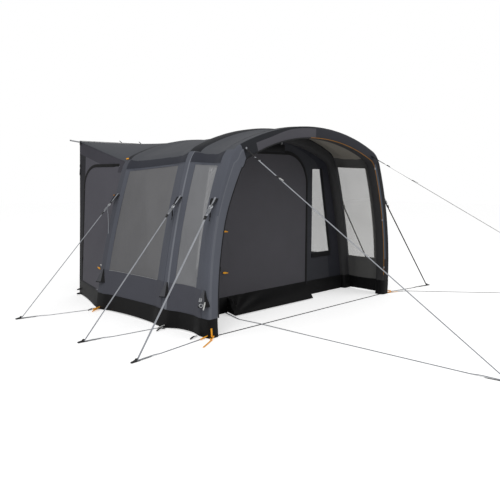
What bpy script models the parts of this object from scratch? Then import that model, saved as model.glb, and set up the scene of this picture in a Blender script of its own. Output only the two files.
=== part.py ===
"""Inflatable driveaway awning: three air beams in fabric sleeves, a recessed porch, a main room
and a tunnel that reaches the vehicle.

Metres, +Z up, -Y is the porch side and +Y the vehicle side. The origin is the bottom centre of
the awning without its guys and pegs.
"""
import math

import bmesh
import bpy
from mathutils import Matrix, Vector

for old in list(bpy.data.objects):
    bpy.data.objects.remove(old, do_unlink=True)

# Cloth and fits
GAP = 0.0003
FABRIC = 0.003
PANE = 0.002

# Distances between the arches, and from the last arch to the tunnel's edge
PORCH = 0.635
ROOM = 1.25
TUNNEL = 0.987

# Each arch: half width at the feet, height of the crown, and three tangent arcs
FRONT_ARCH = {"foot": 1.60, "crown": 2.11, "roof": 3.03, "roof_end": 1.163, "shoulder": 0.304, "leg": 3.71}
MIDDLE_ARCH = {"foot": 1.64, "crown": 2.125, "roof": 2.70, "roof_end": 1.105, "shoulder": 0.30, "leg": 9.1}
REAR_ARCH = {"foot": 1.64, "crown": 2.045, "roof": 2.68, "roof_end": 1.057, "shoulder": 0.30, "leg": 9.0}

# Sleeve round each beam
SLEEVE_WIDTH = 0.13
SLEEVE_DEPTH = 0.13
SLEEVE_WALL = 0.0025
SLEEVE_ROUND = 0.016
SLEEVE_HEEL = 0.035
BEAM_SIDES = 10

# Panels between the sleeves lie below the crest of the sleeves and sag a little
PANEL_INSET = 0.022
ROOF_SAG = 0.015
BAY_STEPS = 4
EAVE = 0.5
CUT_FROM = 0.8
CUT_TO = 2.2
LEG_STEPS = 4
SHOULDER_STEPS = 4
ROOF_STEPS = 5

# Mud wall round the foot
SKIRT_TOP = 0.19
SKIRT_LAP = 0.012
SKIRT_CLOTH = 0.003
SKIRT_CLEARANCE = 0.002
PORCH_HEM_RISE = 0.04
ROOM_HEM_RISE = 0.012
TUNNEL_HEM_RISE = 0.02

# Windows in the side walls: margins from the sleeves
WINDOW_SILL = 0.47
WINDOW_HEAD = 1.67
PORCH_WINDOW_FRONT = 0.035
PORCH_WINDOW_REAR = 0.065
PORCH_WINDOW_LEAN = 0.060
ROOM_WINDOW_FRONT = 0.135
ROOM_WINDOW_REAR = 0.055

# Front wall with its door and two windows
DOOR_HALF = 0.70
DOOR_TOP = 1.84
DOOR_CORNER = 0.39
DOOR_GAP = 0.001
SIDE_DOOR_GAP = 0.002
ZIP_END_ROOM = 0.002
WALL_BOTTOM = 0.010
FLAP_REACH = 0.22
FLAP_BOTTOM = 0.012
FLAP_MARGIN = 0.06
HINGE_SIDE_ROOM = 0.010
FRONT_WINDOW_INNER = 0.825
FRONT_WINDOW_TOP = 1.66
FRONT_WINDOW_TOP_WIDTH = 0.145
FRONT_WINDOW_SILL = 0.56
FRONT_WINDOW_SILL_WIDTH = 0.365

# Tunnel: straight top edge and its two side doors
TUNNEL_TOP = 2.023
TUNNEL_TOP_HALF = 1.246
TUNNEL_FOOT_HALF = 1.323
TUNNEL_STEPS = 5
SIDE_HINGE = 0.15
SIDE_HINGE_SHIFT = 0.012
SIDE_DOOR_EDGE = 0.137
SIDE_DOOR_TOP = 1.69
SIDE_DOOR_CORNER = 0.25
SIDE_DOOR_SILL = 0.20
CORNER_DROP = 0.0054

# Zips and their sliders
ZIP_WIDTH = 0.024
ZIP_CLOTH = 0.003
ZIP_BOTTOM = 0.09
SLIDER_LENGTH = 0.036
SLIDER_WIDTH = 0.014
SLIDER_DEPTH = 0.007
PULL_LENGTH = 0.045
PULL_WIDTH = 0.008
FRONT_SLIDER_HEIGHT = 0.75
SIDE_SLIDER_HEIGHT = 0.50
SIDE_SLIDER_LOW = 0.30
SIDE_SLIDER_HIGH = 1.38
SIDE_SLIDER_LIFT = 0.0004
ARC_STEPS = 8

# Passage between the room and the tunnel, and its door, rolled up and tied
PASSAGE_HALF = 0.95
PASSAGE_TOP = 1.70
PASSAGE_CORNER = 0.25
ROLL_RADIUS = 0.045
ROLL_TIE_RADIUS = 0.036
ROLL_BOTTOM = 0.20
ROLL_TOP = 1.55
ROLL_MARGIN = 0.01
TIE_WIDTH = 0.03

# Beading for the vehicle's rail
BEAD = 0.007
BEAD_TAPE = 0.003
BEAD_DROP = 0.032
BEAD_HALF = 1.20

# Inflation valves, their caps and cover flaps, low on the left legs
VALVE_HEIGHT = 0.385
VALVE_RADIUS = 0.018
VALVE_DEPTH = 0.010
FLANGE_RADIUS = 0.026
FLANGE = 0.004
NECK = 0.003
CAP_RADIUS = 0.020
CAP = 0.007
GRIP_WIDTH = 0.007
GRIP = 0.004
FLAP_TOP_Z = 0.475
FLAP_END_Z = 0.310
FLAP_TOP_WIDTH = 0.030
FLAP_END_WIDTH = 0.150
FLAP_STAND = 0.055
FLAP_CLOTH = 0.002
FLAP_SEAT = 0.0006

# Guys: flat webbing from the arch to a peg, and back along the ground
WEB_WIDTH = 0.020
WEB = 0.002
SIDE_GUY_HEIGHT = 1.36
SIDE_PEG_X = 2.49
SIDE_PEG_Y = {"front": -0.085, "middle": 0.775, "rear": 2.11}
LEFT_FRONT_GUY_X = 1.10
LEFT_FRONT_PEG = (-0.825, -2.517)
LEFT_FRONT_GROUND = [(-0.828, -0.60), (-0.84, 0.37)]
LEFT_FRONT_FOOT_X = 0.755
RIGHT_FRONT_GUY_X = 1.13
RIGHT_FRONT_PEG = (3.507, -2.10)
RIGHT_FRONT_GROUND = [(2.435, -0.735), (1.89, -0.045)]
RIGHT_FRONT_FOOT_Y = 0.020
FRONT_GUY_INSET = 0.074
FRONT_GUY_TAIL = 0.024

# Peg: a steel pin with a moulded hook head, laid along its guy
PIN_RADIUS = 0.0035
PIN_LENGTH = 0.165
HOOK_LENGTH = 0.080
HOOK_WIDTH = 0.016
HOOK_HEIGHT = 0.030
THROAT = 0.018

# Strap that keeps the two front feet apart
SPACER_LIFT = 0.0005

HALF = SLEEVE_WIDTH / 2
REACH_FRONT = HALF + GAP + SKIRT_CLOTH
REACH_REAR = GAP + BEAD
DEPTH = REACH_FRONT + PORCH + ROOM + TUNNEL + REACH_REAR
Y_FRONT = REACH_FRONT - DEPTH / 2
Y_MIDDLE = Y_FRONT + PORCH
Y_REAR = Y_MIDDLE + ROOM
Y_EDGE = Y_REAR + TUNNEL
PHOTO_Y = Y_FRONT - HALF
SPACER_Y = PHOTO_Y + SLEEVE_HEEL + WEB_WIDTH / 2

CHARCOAL = (0.075, 0.077, 0.088)
ROOF_GREY = (0.115, 0.118, 0.124)
INNER_GREY = (0.050, 0.049, 0.053)
BLACK = (0.012, 0.012, 0.012)
PANE_GREY = (0.16, 0.16, 0.155)
STEEL = (0.55, 0.56, 0.57)
WEB_GREY = (0.25, 0.26, 0.28)
BLADDER = (0.62, 0.63, 0.64)


def solve_arch(size):
    """Centres and end angles of the three arcs; the leg's start is turned until its foot is right."""
    arch = dict(size)
    turn = math.asin(arch["roof_end"] / arch["roof"])
    roof_centre = (0.0, arch["crown"] - arch["roof"])
    step = arch["roof"] - arch["shoulder"]
    shoulder_centre = (step * math.sin(turn), roof_centre[1] + step * math.cos(turn))

    def leg_centre(angle):
        back = arch["shoulder"] - arch["leg"]
        return (shoulder_centre[0] + back * math.sin(angle), shoulder_centre[1] + back * math.cos(angle))

    def foot(angle):
        centre = leg_centre(angle)
        return centre[0] + math.sqrt(arch["leg"] ** 2 - centre[1] ** 2)

    low, high = math.radians(50), math.radians(89)
    for _ in range(60):
        middle = (low + high) / 2
        if foot(middle) > arch["foot"]:
            low = middle
        else:
            high = middle
    arch["turn"] = turn
    arch["lean"] = (low + high) / 2
    arch["centres"] = {"roof": roof_centre, "shoulder": shoulder_centre, "leg": leg_centre(arch["lean"])}
    return arch


def on_arc(arch, part, inset, angle):
    centre = arch["centres"][part]
    radius = arch[part] - inset
    return (centre[0] + radius * math.sin(angle), centre[1] + radius * math.cos(angle))


def leg_x(arch, inset, z):
    centre = arch["centres"]["leg"]
    radius = arch["leg"] - inset
    return centre[0] + math.sqrt(radius ** 2 - (z - centre[1]) ** 2)


def station(arch, inset, where):
    """A point of the arch, x outward and z up: at a height, or at a share of the leg, shoulder or roof."""
    kind, value = where
    if kind == "height":
        return (leg_x(arch, inset, value), value)
    if kind == "leg":
        top = on_arc(arch, "leg", inset, arch["lean"])[1]
        z = SKIRT_TOP + value * (top - SKIRT_TOP)
        return (leg_x(arch, inset, z), z)
    if kind == "shoulder":
        return on_arc(arch, "shoulder", inset, arch["lean"] + value * (arch["turn"] - arch["lean"]))
    return on_arc(arch, "roof", inset, arch["turn"] * (1 - value))


def eave_shift(arch):
    return GAP / 2 / (arch["shoulder"] * (arch["lean"] - arch["turn"]))


ARCHES = {name: solve_arch(size) for name, size in (
    ("front", FRONT_ARCH), ("middle", MIDDLE_ARCH), ("rear", REAR_ARCH))}
ARCH_Y = {"front": Y_FRONT, "middle": Y_MIDDLE, "rear": Y_REAR}

LEG = [("leg", k / LEG_STEPS) for k in range(LEG_STEPS)]
SHOULDER = [("shoulder", k / SHOULDER_STEPS) for k in range(SHOULDER_STEPS)]
ROOF = [("roof", k / ROOF_STEPS) for k in range(ROOF_STEPS + 1)]
HALF_ARCH = [("height", 0.0)] + LEG + SHOULDER + ROOF


def both_sides(points):
    """Points from the right foot to the crown, carried on down to the left foot."""
    return points + [(-x, z) for x, z in reversed(points[:-1])]


def sleeve_section():
    """The sleeve's outline as (inset, offset along Y), rounded outside and bevelled inside."""
    flat = HALF - SLEEVE_ROUND
    mid = SLEEVE_ROUND * (1 - math.cos(math.radians(45)))
    one = [(0.0, flat), (mid, HALF - mid), (SLEEVE_ROUND, HALF),
           (SLEEVE_DEPTH - SLEEVE_HEEL, HALF), (SLEEVE_DEPTH, HALF - SLEEVE_HEEL)]
    return one + [(n, -y) for n, y in reversed(one)]


def scaled_section(points, share):
    centre = SLEEVE_DEPTH / 2
    return [(centre + (n - centre) * share, y * share) for n, y in points]


def new_object(name, mesh, colour, roughness=0.8, metallic=0.0):
    obj = bpy.data.objects.new(name, mesh)
    bpy.context.collection.objects.link(obj)
    if colour is not None:
        finish = bpy.data.materials.new(name + "_finish")
        finish.use_nodes = True
        shader = finish.node_tree.nodes["Principled BSDF"]
        shader.inputs["Base Color"].default_value = (*colour, 1.0)
        shader.inputs["Roughness"].default_value = roughness
        shader.inputs["Metallic"].default_value = metallic
        mesh.materials.append(finish)
    return obj


def solid(name, points, faces, colour, roughness=0.8, metallic=0.0, smooth=None):
    """One closed body from points and faces, with its faces turned out."""
    mesh = bpy.data.meshes.new(name)
    shape = bmesh.new()
    corners = [shape.verts.new(p) for p in points]
    for face in faces:
        shape.faces.new([corners[i] for i in face])
    bmesh.ops.triangulate(shape, faces=[f for f in shape.faces if len(f.verts) == 4])
    bmesh.ops.recalc_face_normals(shape, faces=shape.faces)
    shape.to_mesh(mesh)
    shape.free()
    if smooth is not None:
        mesh.shade_smooth()
        mesh.set_sharp_from_angle(angle=math.radians(smooth))
    return new_object(name, mesh, colour, roughness, metallic)


def loft(name, rings, colour, inner=None, **looks):
    """A solid through closed rings; with inner rings it is a tube with a wall."""
    count = len(rings[0])
    points = [p for ring in rings for p in ring]
    faces = []
    for k in range(len(rings) - 1):
        for i in range(count):
            j = (i + 1) % count
            faces.append((k * count + i, k * count + j, (k + 1) * count + j, (k + 1) * count + i))
    if inner is None:
        faces.append(tuple(range(count)))
        faces.append(tuple(range((len(rings) - 1) * count, len(rings) * count)))
        return solid(name, points, faces, colour, **looks)
    base = len(points)
    points += [p for ring in inner for p in ring]
    faces += [tuple(base + i for i in face) for face in faces]
    for k in (0, len(rings) - 1):
        for i in range(count):
            j = (i + 1) % count
            faces.append((k * count + i, k * count + j, base + k * count + j, base + k * count + i))
    return solid(name, points, faces, colour, **looks)


def shell(name, outer, inner, colour, **looks):
    """A cloth panel from two grids of points, closed round its edge."""
    rows, columns = len(outer), len(outer[0])
    points = [p for row in outer for p in row] + [p for row in inner for p in row]
    base = rows * columns
    faces = []
    for r in range(rows - 1):
        for c in range(columns - 1):
            a = r * columns + c
            cell = (a, a + 1, a + columns + 1, a + columns)
            faces.append(cell)
            faces.append(tuple(base + i for i in cell))
    rim = [c for c in range(columns)]
    rim += [r * columns + columns - 1 for r in range(1, rows)]
    rim += [(rows - 1) * columns + c for c in range(columns - 2, -1, -1)]
    rim += [r * columns for r in range(rows - 2, 0, -1)]
    for i, a in enumerate(rim):
        b = rim[(i + 1) % len(rim)]
        faces.append((a, b, base + b, base + a))
    return solid(name, points, faces, colour, **looks)


def prism(name, outline, axis, low, high, colour=None, **looks):
    """An outline carried along X or Y. Along X the outline is (y, z), along Y it is (x, z)."""
    def at(u, v, along):
        return (along, u, v) if axis == "X" else (u, along, v)
    count = len(outline)
    points = [at(u, v, low) for u, v in outline] + [at(u, v, high) for u, v in outline]
    faces = [tuple(range(count)), tuple(range(count, 2 * count))]
    faces += [(i, (i + 1) % count, count + (i + 1) % count, count + i) for i in range(count)]
    made = solid(name, points, faces, colour, **looks)
    if colour is None:
        made.hide_render = True
        made.display_type = "WIRE"
    return made


def boolean(target, tool, operation):
    """Cut, join or keep the common part; a tool is a guide and not a piece."""
    tool.hide_render = True
    tool.display_type = "WIRE"
    step = target.modifiers.new(tool.name, "BOOLEAN")
    step.operation = operation
    step.solver = "EXACT"
    step.object = tool


def put_origin(obj, origin):
    """Moves the object's origin without moving its mesh."""
    obj.data.transform(Matrix.Translation(-Vector(origin)))
    obj.location = origin


def blend(a, b, share):
    return tuple(p + (q - p) * share for p, q in zip(a, b))


def arc(centre, radius, start, end, steps):
    return [(centre[0] + radius * math.cos(start + (end - start) * k / steps),
             centre[1] + radius * math.sin(start + (end - start) * k / steps)) for k in range(steps + 1)]


def door_outline(near, far, bottom, top, near_corner, far_corner, grow=0.0, near_grow=None):
    """A door's outline with rounded upper corners; near is the hinge side."""
    near_grow = grow if near_grow is None else near_grow
    side = 1 if far > near else -1
    n, f = near - side * near_grow, far + side * grow
    b, t = bottom - grow, top + grow
    points = [(n, b)]
    if near_corner:
        r = near_corner + grow
        points += [(n + side * (r - r * math.cos(a)), t - r + r * math.sin(a))
                   for a in [math.pi / 2 * k / ARC_STEPS for k in range(ARC_STEPS + 1)]]
    else:
        points.append((n, t))
    r = far_corner + grow
    points += [(f - side * (r - r * math.sin(a)), t - r + r * math.cos(a))
               for a in [math.pi / 2 * k / ARC_STEPS for k in range(ARC_STEPS + 1)]]
    points.append((f, b))
    return points


def zip_outline(near, far, bottom, top, far_corner, inner, outer):
    """The band of a zip that follows a door's head, its far corner and its far side."""
    side = 1 if far > near else -1

    def edge(grow):
        r = far_corner + grow
        f, t = far + side * grow, top + grow
        points = [(near, t)]
        points += [(f - side * (r - r * math.sin(a)), t - r + r * math.cos(a))
                   for a in [math.pi / 2 * k / ARC_STEPS for k in range(ARC_STEPS + 1)]]
        return points + [(f, bottom)]
    return edge(outer) + list(reversed(edge(inner)))


def make_beam(name):
    """The inflated bladder, with its valve welded to the left leg."""
    arch, y = ARCHES[name], ARCH_Y[name]
    radius = min(SLEEVE_WIDTH, SLEEVE_DEPTH) / 2 - SLEEVE_WALL - GAP
    ring = [(SLEEVE_DEPTH / 2 - radius * math.cos(a), radius * math.sin(a))
            for a in [math.tau * k / BEAM_SIDES for k in range(BEAM_SIDES)]]
    rings = []
    for points in zip(*[both_sides([station(arch, n, s) for s in HALF_ARCH]) for n, _ in ring]):
        rings.append([(x, y + ring[i][1], z) for i, (x, z) in enumerate(points)])
    beam = loft("air_beam_" + name, rings, BLADDER, roughness=0.35, smooth=50)
    boolean(beam, make_valve(name), "UNION")
    return beam


def make_sleeve(name):
    """The zipped sleeve: a tube of cloth from foot to foot, with a hole for the valve."""
    arch, y = ARCHES[name], ARCH_Y[name]
    outer = sleeve_section()
    inner = scaled_section(outer, (HALF - SLEEVE_WALL) / HALF)

    def rings(section):
        made = []
        for points in zip(*[both_sides([station(arch, n, s) for s in HALF_ARCH]) for n, _ in section]):
            made.append([(x, y + section[i][1], z) for i, (x, z) in enumerate(points)])
        return made
    sleeve = loft("beam_sleeve_" + name, rings(outer), CHARCOAL, inner=rings(inner), smooth=50)
    hole = turned("valve_hole_" + name, [(VALVE_RADIUS + GAP, -SLEEVE_ROUND / 2), (VALVE_RADIUS + GAP, 0.02)],
                  crest_frame(name, VALVE_HEIGHT))
    boolean(sleeve, hole, "DIFFERENCE")
    return sleeve


def crest_frame(name, height, side=-1):
    """A frame on the crest of a leg: X runs up the leg, Y along the awning, Z out of the sleeve."""
    arch = ARCHES[name]
    stations = [station(arch, 0.0, s) for s in HALF_ARCH]
    low, high = next((a, b) for a, b in zip(stations, stations[1:]) if a[1] <= height <= b[1])
    x, z = blend(low, high, (height - low[1]) / (high[1] - low[1]))
    up = Vector((side * (high[0] - low[0]), 0, high[1] - low[1])).normalized()
    across = Vector((0, 1, 0))
    out = up.cross(across)
    if out.x * side < 0:
        out, across = -out, -across
    frame = Matrix((up, across, out)).transposed().to_4x4()
    frame.translation = Vector((side * x, ARCH_Y[name], z))
    return frame


def turned(name, profile, frame, colour=None, sides=16, **looks):
    """A profile of (radius, height) turned about the frame's Z axis."""
    rings = []
    for radius, height in profile:
        rings.append([tuple(frame @ Vector((radius * math.cos(a), radius * math.sin(a), height)))
                      for a in [math.tau * k / sides for k in range(sides)]])
    return loft(name, rings, colour, **looks)


def make_valve(name):
    """Valve body: it starts inside the beam, passes the sleeve's hole and ends in a flange and neck."""
    profile = [(VALVE_RADIUS, -VALVE_DEPTH), (VALVE_RADIUS, GAP), (FLANGE_RADIUS, GAP),
               (FLANGE_RADIUS, GAP + FLANGE), (VALVE_RADIUS, GAP + FLANGE), (VALVE_RADIUS, GAP + FLANGE + NECK)]
    return turned("valve_body_" + name, profile, crest_frame(name, VALVE_HEIGHT))


def make_cap(name):
    """Screw cap with a raised grip across it, seated on the valve's neck."""
    frame = crest_frame(name, VALVE_HEIGHT)
    seat = 2 * GAP + FLANGE + NECK
    profile = [(CAP_RADIUS - 0.002, seat), (CAP_RADIUS, seat + 0.002), (CAP_RADIUS, seat + CAP - 0.002),
               (CAP_RADIUS - 0.002, seat + CAP)]
    cap = turned("valve_cap_" + name, profile, frame, BLACK, roughness=0.5, smooth=40)
    half, top = CAP_RADIUS * 0.8, seat + CAP + GRIP
    grip_points = [frame @ Vector((x * half, y * GRIP_WIDTH / 2, z))
                   for z in (seat + CAP / 2, top) for x, y in ((-1, -1), (1, -1), (1, 1), (-1, 1))]
    grip = loft("cap_grip_" + name, [[tuple(p) for p in grip_points[:4]], [tuple(p) for p in grip_points[4:]]], None)
    boolean(cap, grip, "UNION")
    put_origin(cap, frame.translation)
    return cap


def make_cover_flap(name):
    """Hood over a valve: narrow at its hinge, wide and standing off the sleeve at its mouth."""
    top = crest_frame(name, FLAP_TOP_Z)
    end = crest_frame(name, FLAP_END_Z)
    run = (end.translation - top.translation)
    out = top.to_3x3() @ Vector((0, 0, 1))
    across = Vector((0, 1, 0))
    rows, columns = 5, 6

    def grid(thickness):
        made = []
        for r in range(rows):
            share = r / (rows - 1)
            width = FLAP_TOP_WIDTH + (FLAP_END_WIDTH - FLAP_TOP_WIDTH) * share
            stand = FLAP_STAND * share ** 0.8
            row = []
            for c in range(columns + 1):
                w = 2 * c / columns - 1
                n = FLAP_SEAT + thickness + stand * (1 - w * w)
                row.append(tuple(top.translation + run * share + across * (w * width / 2) + out * n))
            made.append(row)
        return made
    flap = shell("valve_flap_" + name, grid(FLAP_CLOTH), grid(0.0), CHARCOAL, smooth=60)
    put_origin(flap, top.translation + out * (FLAP_SEAT + FLAP_CLOTH / 2))
    return flap


def bay_columns(first, last):
    """The places of a panel's columns between two sleeves, as (y, share of the way)."""
    a, b = ARCH_Y[first], ARCH_Y[last]
    start, end = a + HALF + GAP, b - HALF - GAP
    columns = []
    for k in range(BAY_STEPS + 1):
        y = start + (end - start) * k / BAY_STEPS
        columns.append((y, (y - a) / (b - a), ROOF_SAG * math.sin(math.pi * k / BAY_STEPS)))
    return columns


def bay_point(first, last, column, where, side, depth):
    """A point of the cloth between two arches, at a depth below its outer face."""
    y, share, sag = column
    inset = PANEL_INSET + sag + depth
    x, z = blend(station(ARCHES[first], inset, where[0]), station(ARCHES[last], inset, where[1]), share)
    return (side * x, y, z)


def pair(where, first, last, shift):
    """The same station on two arches, moved a little along each for the seam's gap."""
    kind, value = where
    return ((kind, value + shift * eave_shift(ARCHES[first])), (kind, value + shift * eave_shift(ARCHES[last])))


def make_wall(name, first, last, side, window):
    """Side wall of a bay, with its window; the window is a pane of the same surface."""
    rows = [(s, s) for s in [("height", SKIRT_TOP - SKIRT_LAP)] + LEG]
    rows += [(s, s) for s in SHOULDER[:1]]
    rows.append(pair(("shoulder", EAVE), first, last, -1))
    columns = bay_columns(first, last)

    def grid(depth):
        return [[bay_point(first, last, c, w, side, depth) for c in columns] for w in rows]
    wall = shell("wall_" + name, grid(0.0), grid(FABRIC), CHARCOAL, smooth=30)
    hole = prism("window_hole_" + name, window(GAP), "X", side * CUT_FROM, side * CUT_TO)
    boolean(wall, hole, "DIFFERENCE")
    pane = shell("window_" + name, grid((FABRIC - PANE) / 2), grid((FABRIC + PANE) / 2), PANE_GREY,
                 roughness=0.3, smooth=30)
    keep = prism("window_cut_" + name, window(0.0), "X", side * CUT_FROM, side * CUT_TO)
    boolean(pane, keep, "INTERSECT")
    return wall


def porch_window(grow):
    front = Y_FRONT + HALF + PORCH_WINDOW_FRONT
    rear = Y_MIDDLE - HALF - PORCH_WINDOW_REAR
    return [(front + PORCH_WINDOW_LEAN - grow, WINDOW_SILL - grow), (rear + grow, WINDOW_SILL - grow),
            (rear + grow, WINDOW_HEAD + grow), (front - grow, WINDOW_HEAD + grow)]


def room_window(grow):
    front = Y_MIDDLE + HALF + ROOM_WINDOW_FRONT
    rear = Y_REAR - HALF - ROOM_WINDOW_REAR
    return [(front - grow, WINDOW_SILL - grow), (rear + grow, WINDOW_SILL - grow),
            (rear + grow, WINDOW_HEAD + grow), (front - grow, WINDOW_HEAD + grow)]


def make_roof(name, first, last):
    """Roof of a bay from eave to eave."""
    half_rows = [pair(("shoulder", EAVE), first, last, 1)]
    half_rows += [(s, s) for s in SHOULDER if s[1] > EAVE]
    half_rows += [(s, s) for s in ROOF]
    columns = bay_columns(first, last)

    def grid(depth):
        right = [[bay_point(first, last, c, w, 1, depth) for c in columns] for w in half_rows]
        left = [[(-x, y, z) for x, y, z in row] for row in reversed(right[:-1])]
        return right + left
    return shell("roof_" + name, grid(0.0), grid(FABRIC), ROOF_GREY, smooth=30)


def side_rows():
    """Stations of the tunnel's side wall, from the mud wall's top to the seam with the roof."""
    arch = ARCHES["rear"]
    rows = [("height", SKIRT_TOP - SKIRT_LAP)] + LEG + SHOULDER[:1]
    return rows + [("shoulder", EAVE - eave_shift(arch))]


def eave_height():
    return station(ARCHES["rear"], PANEL_INSET, ("shoulder", EAVE))[1]


def edge_point(z, depth):
    """The tunnel's free edge beside a height on the rear arch."""
    rise = (TUNNEL_TOP - CORNER_DROP - SKIRT_TOP) / (eave_height() - SKIRT_TOP)
    height = z + max(z - SKIRT_TOP, 0.0) * (rise - 1)
    half = TUNNEL_FOOT_HALF + (TUNNEL_TOP_HALF - TUNNEL_FOOT_HALF) * height / TUNNEL_TOP
    return (half - depth, height)


def hinge_line_x(z):
    """The straight hinge line of a side door, as x outward at a height."""
    arch = ARCHES["rear"]
    foot = station(arch, PANEL_INSET, ("height", 0.0))
    top = station(arch, PANEL_INSET, ("leg", 1.0))
    u = (SIDE_HINGE - HALF) / (TUNNEL - HALF)
    start = blend(foot, edge_point(foot[1], 0.0), u)
    end = blend(top, (edge_point(top[1], 0.0)[0], top[1]), u)
    return start[0] + SIDE_HINGE_SHIFT + (end[0] - start[0]) * (z - start[1]) / (end[1] - start[1])


def tunnel_columns():
    """Places of the tunnel's columns: beside the sleeve, at the hinge, evenly on to the zip, and the edge."""
    start, hinge = Y_REAR + HALF + GAP, Y_REAR + SIDE_HINGE
    zip_line = Y_EDGE - SIDE_DOOR_EDGE + ZIP_WIDTH / 2
    inner = [hinge + (zip_line - hinge) * k / TUNNEL_STEPS for k in range(1, TUNNEL_STEPS + 1)]
    return [start, hinge] + inner + [Y_EDGE]


def tunnel_wall_point(y, where, side, depth):
    """A point of the tunnel's side wall: it twists from the rear leg to the upright edge."""
    arch = ARCHES["rear"]
    on_arch = station(arch, PANEL_INSET + max(depth, 0.0), where)
    if depth < 0:
        on_arch = (on_arch[0] - depth, on_arch[1])
    z = station(arch, PANEL_INSET, where)[1]
    edge = edge_point(z, depth)
    start, hinge = Y_REAR + HALF + GAP, Y_REAR + SIDE_HINGE
    u = (hinge - start) / (Y_EDGE - start)
    if where[0] == "shoulder" and where[1] > 0:
        on_hinge = blend(on_arch, edge, u)
    else:
        on_hinge = (hinge_line_x(z) - depth, z)
    if y <= hinge:
        x, z = blend(on_arch, on_hinge, (y - start) / (hinge - start))
    else:
        x, z = blend(on_hinge, edge, (y - hinge) / (Y_EDGE - hinge))
    return (side * x, y, z)


def tunnel_grid(side, columns, depth):
    return [[tunnel_wall_point(y, w, side, depth) for y in columns] for w in side_rows()]


def side_door(grow, near_grow=None):
    return door_outline(Y_REAR + SIDE_HINGE, Y_EDGE - SIDE_DOOR_EDGE, SIDE_DOOR_SILL, SIDE_DOOR_TOP,
                        0.0, SIDE_DOOR_CORNER, grow, near_grow)


def side_name(side):
    return "left" if side < 0 else "right"


def make_tunnel_side(side):
    """Side wall of the tunnel with its door, zip and zip slider."""
    name = side_name(side)
    columns = tunnel_columns()
    wall = shell("wall_tunnel_" + name, tunnel_grid(side, columns, 0.0), tunnel_grid(side, columns, FABRIC),
                 CHARCOAL, smooth=30)
    hole = prism("side_door_hole_" + name, side_door(0.0, GAP), "X", side * CUT_FROM, side * CUT_TO)
    boolean(wall, hole, "DIFFERENCE")
    door_columns = columns[1:]
    door = shell("tunnel_door_" + name, tunnel_grid(side, door_columns, 0.0),
                 tunnel_grid(side, door_columns, FABRIC), CHARCOAL, smooth=30)
    keep = prism("side_door_cut_" + name, side_door(-SIDE_DOOR_GAP, 0.0), "X", side * CUT_FROM, side * CUT_TO)
    boolean(door, keep, "INTERSECT")
    tape = shell("tunnel_zip_" + name, tunnel_grid(side, door_columns, -GAP - ZIP_CLOTH),
                 tunnel_grid(side, door_columns, -GAP), BLACK, roughness=0.6)
    band = zip_outline(Y_REAR + SIDE_HINGE + ZIP_END_ROOM, Y_EDGE - SIDE_DOOR_EDGE, SIDE_DOOR_SILL,
                       SIDE_DOOR_TOP, SIDE_DOOR_CORNER, GAP, ZIP_WIDTH)
    keep_band = prism("side_zip_cut_" + name, band, "X", side * CUT_FROM, side * CUT_TO)
    boolean(tape, keep_band, "INTERSECT")
    hinge_foot = Vector((side * hinge_line_x(0.0), Y_REAR + SIDE_HINGE, 0.0))
    put_origin(door, hinge_foot)
    zip_y = Y_EDGE - SIDE_DOOR_EDGE + ZIP_WIDTH / 2
    low = Vector(tunnel_wall_point(zip_y, ("height", SIDE_SLIDER_LOW), side, 0.0))
    high = Vector(tunnel_wall_point(zip_y, ("height", SIDE_SLIDER_HIGH), side, 0.0))
    up = (high - low).normalized()
    seat = low + up * (SIDE_SLIDER_HEIGHT - low.z) / up.z
    across = Vector(tunnel_wall_point(Y_EDGE, ("leg", 0.5), side, 0.0))
    across -= Vector(tunnel_wall_point(Y_REAR + SIDE_HINGE, ("leg", 0.5), side, 0.0))
    out = up.cross(across).normalized()
    if out.x * side < 0:
        out = -out
    seat += Vector((side * (GAP + ZIP_CLOTH + SIDE_SLIDER_LIFT), 0, 0))
    make_slider("tunnel_zip_slider_" + name, seat, up, out)


def make_slider(name, seat, up, out):
    """Zip slider with its pull: a boat-shaped body on the tape and a tab that hangs from it."""
    across = up.cross(out)
    body = SLIDER_LENGTH / 2
    keel, wing = SLIDER_WIDTH / 6, SLIDER_WIDTH / 2
    section = [(-wing, GAP + 0.0014), (-keel, GAP), (keel, GAP), (wing, GAP + 0.0014),
               (wing, SLIDER_DEPTH), (-wing, SLIDER_DEPTH)]
    rings = []
    for along, share in ((-body, 0.55), (-body * 0.3, 0.8), (body * 0.5, 1.0), (body, 0.75)):
        rings.append([tuple(seat + up * along + across * (w * share) + out * n) for w, n in section])
    slider = loft(name, rings, BLACK, roughness=0.45, metallic=0.3)
    pull = PULL_WIDTH / 2
    rings = []
    for along, share in ((-body - PULL_LENGTH, 0.8), (-body - PULL_LENGTH * 0.4, 1.0), (0.0, 0.6)):
        rings.append([tuple(seat + up * along + across * (w * pull * share) + out * n)
                      for w, n in ((-1, SLIDER_DEPTH - 0.003), (1, SLIDER_DEPTH - 0.003),
                                   (1, SLIDER_DEPTH - 0.0005), (-1, SLIDER_DEPTH - 0.0005))])
    tab = loft(name + "_pull", rings, None)
    boolean(slider, tab, "UNION")
    put_origin(slider, seat)
    return slider


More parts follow.
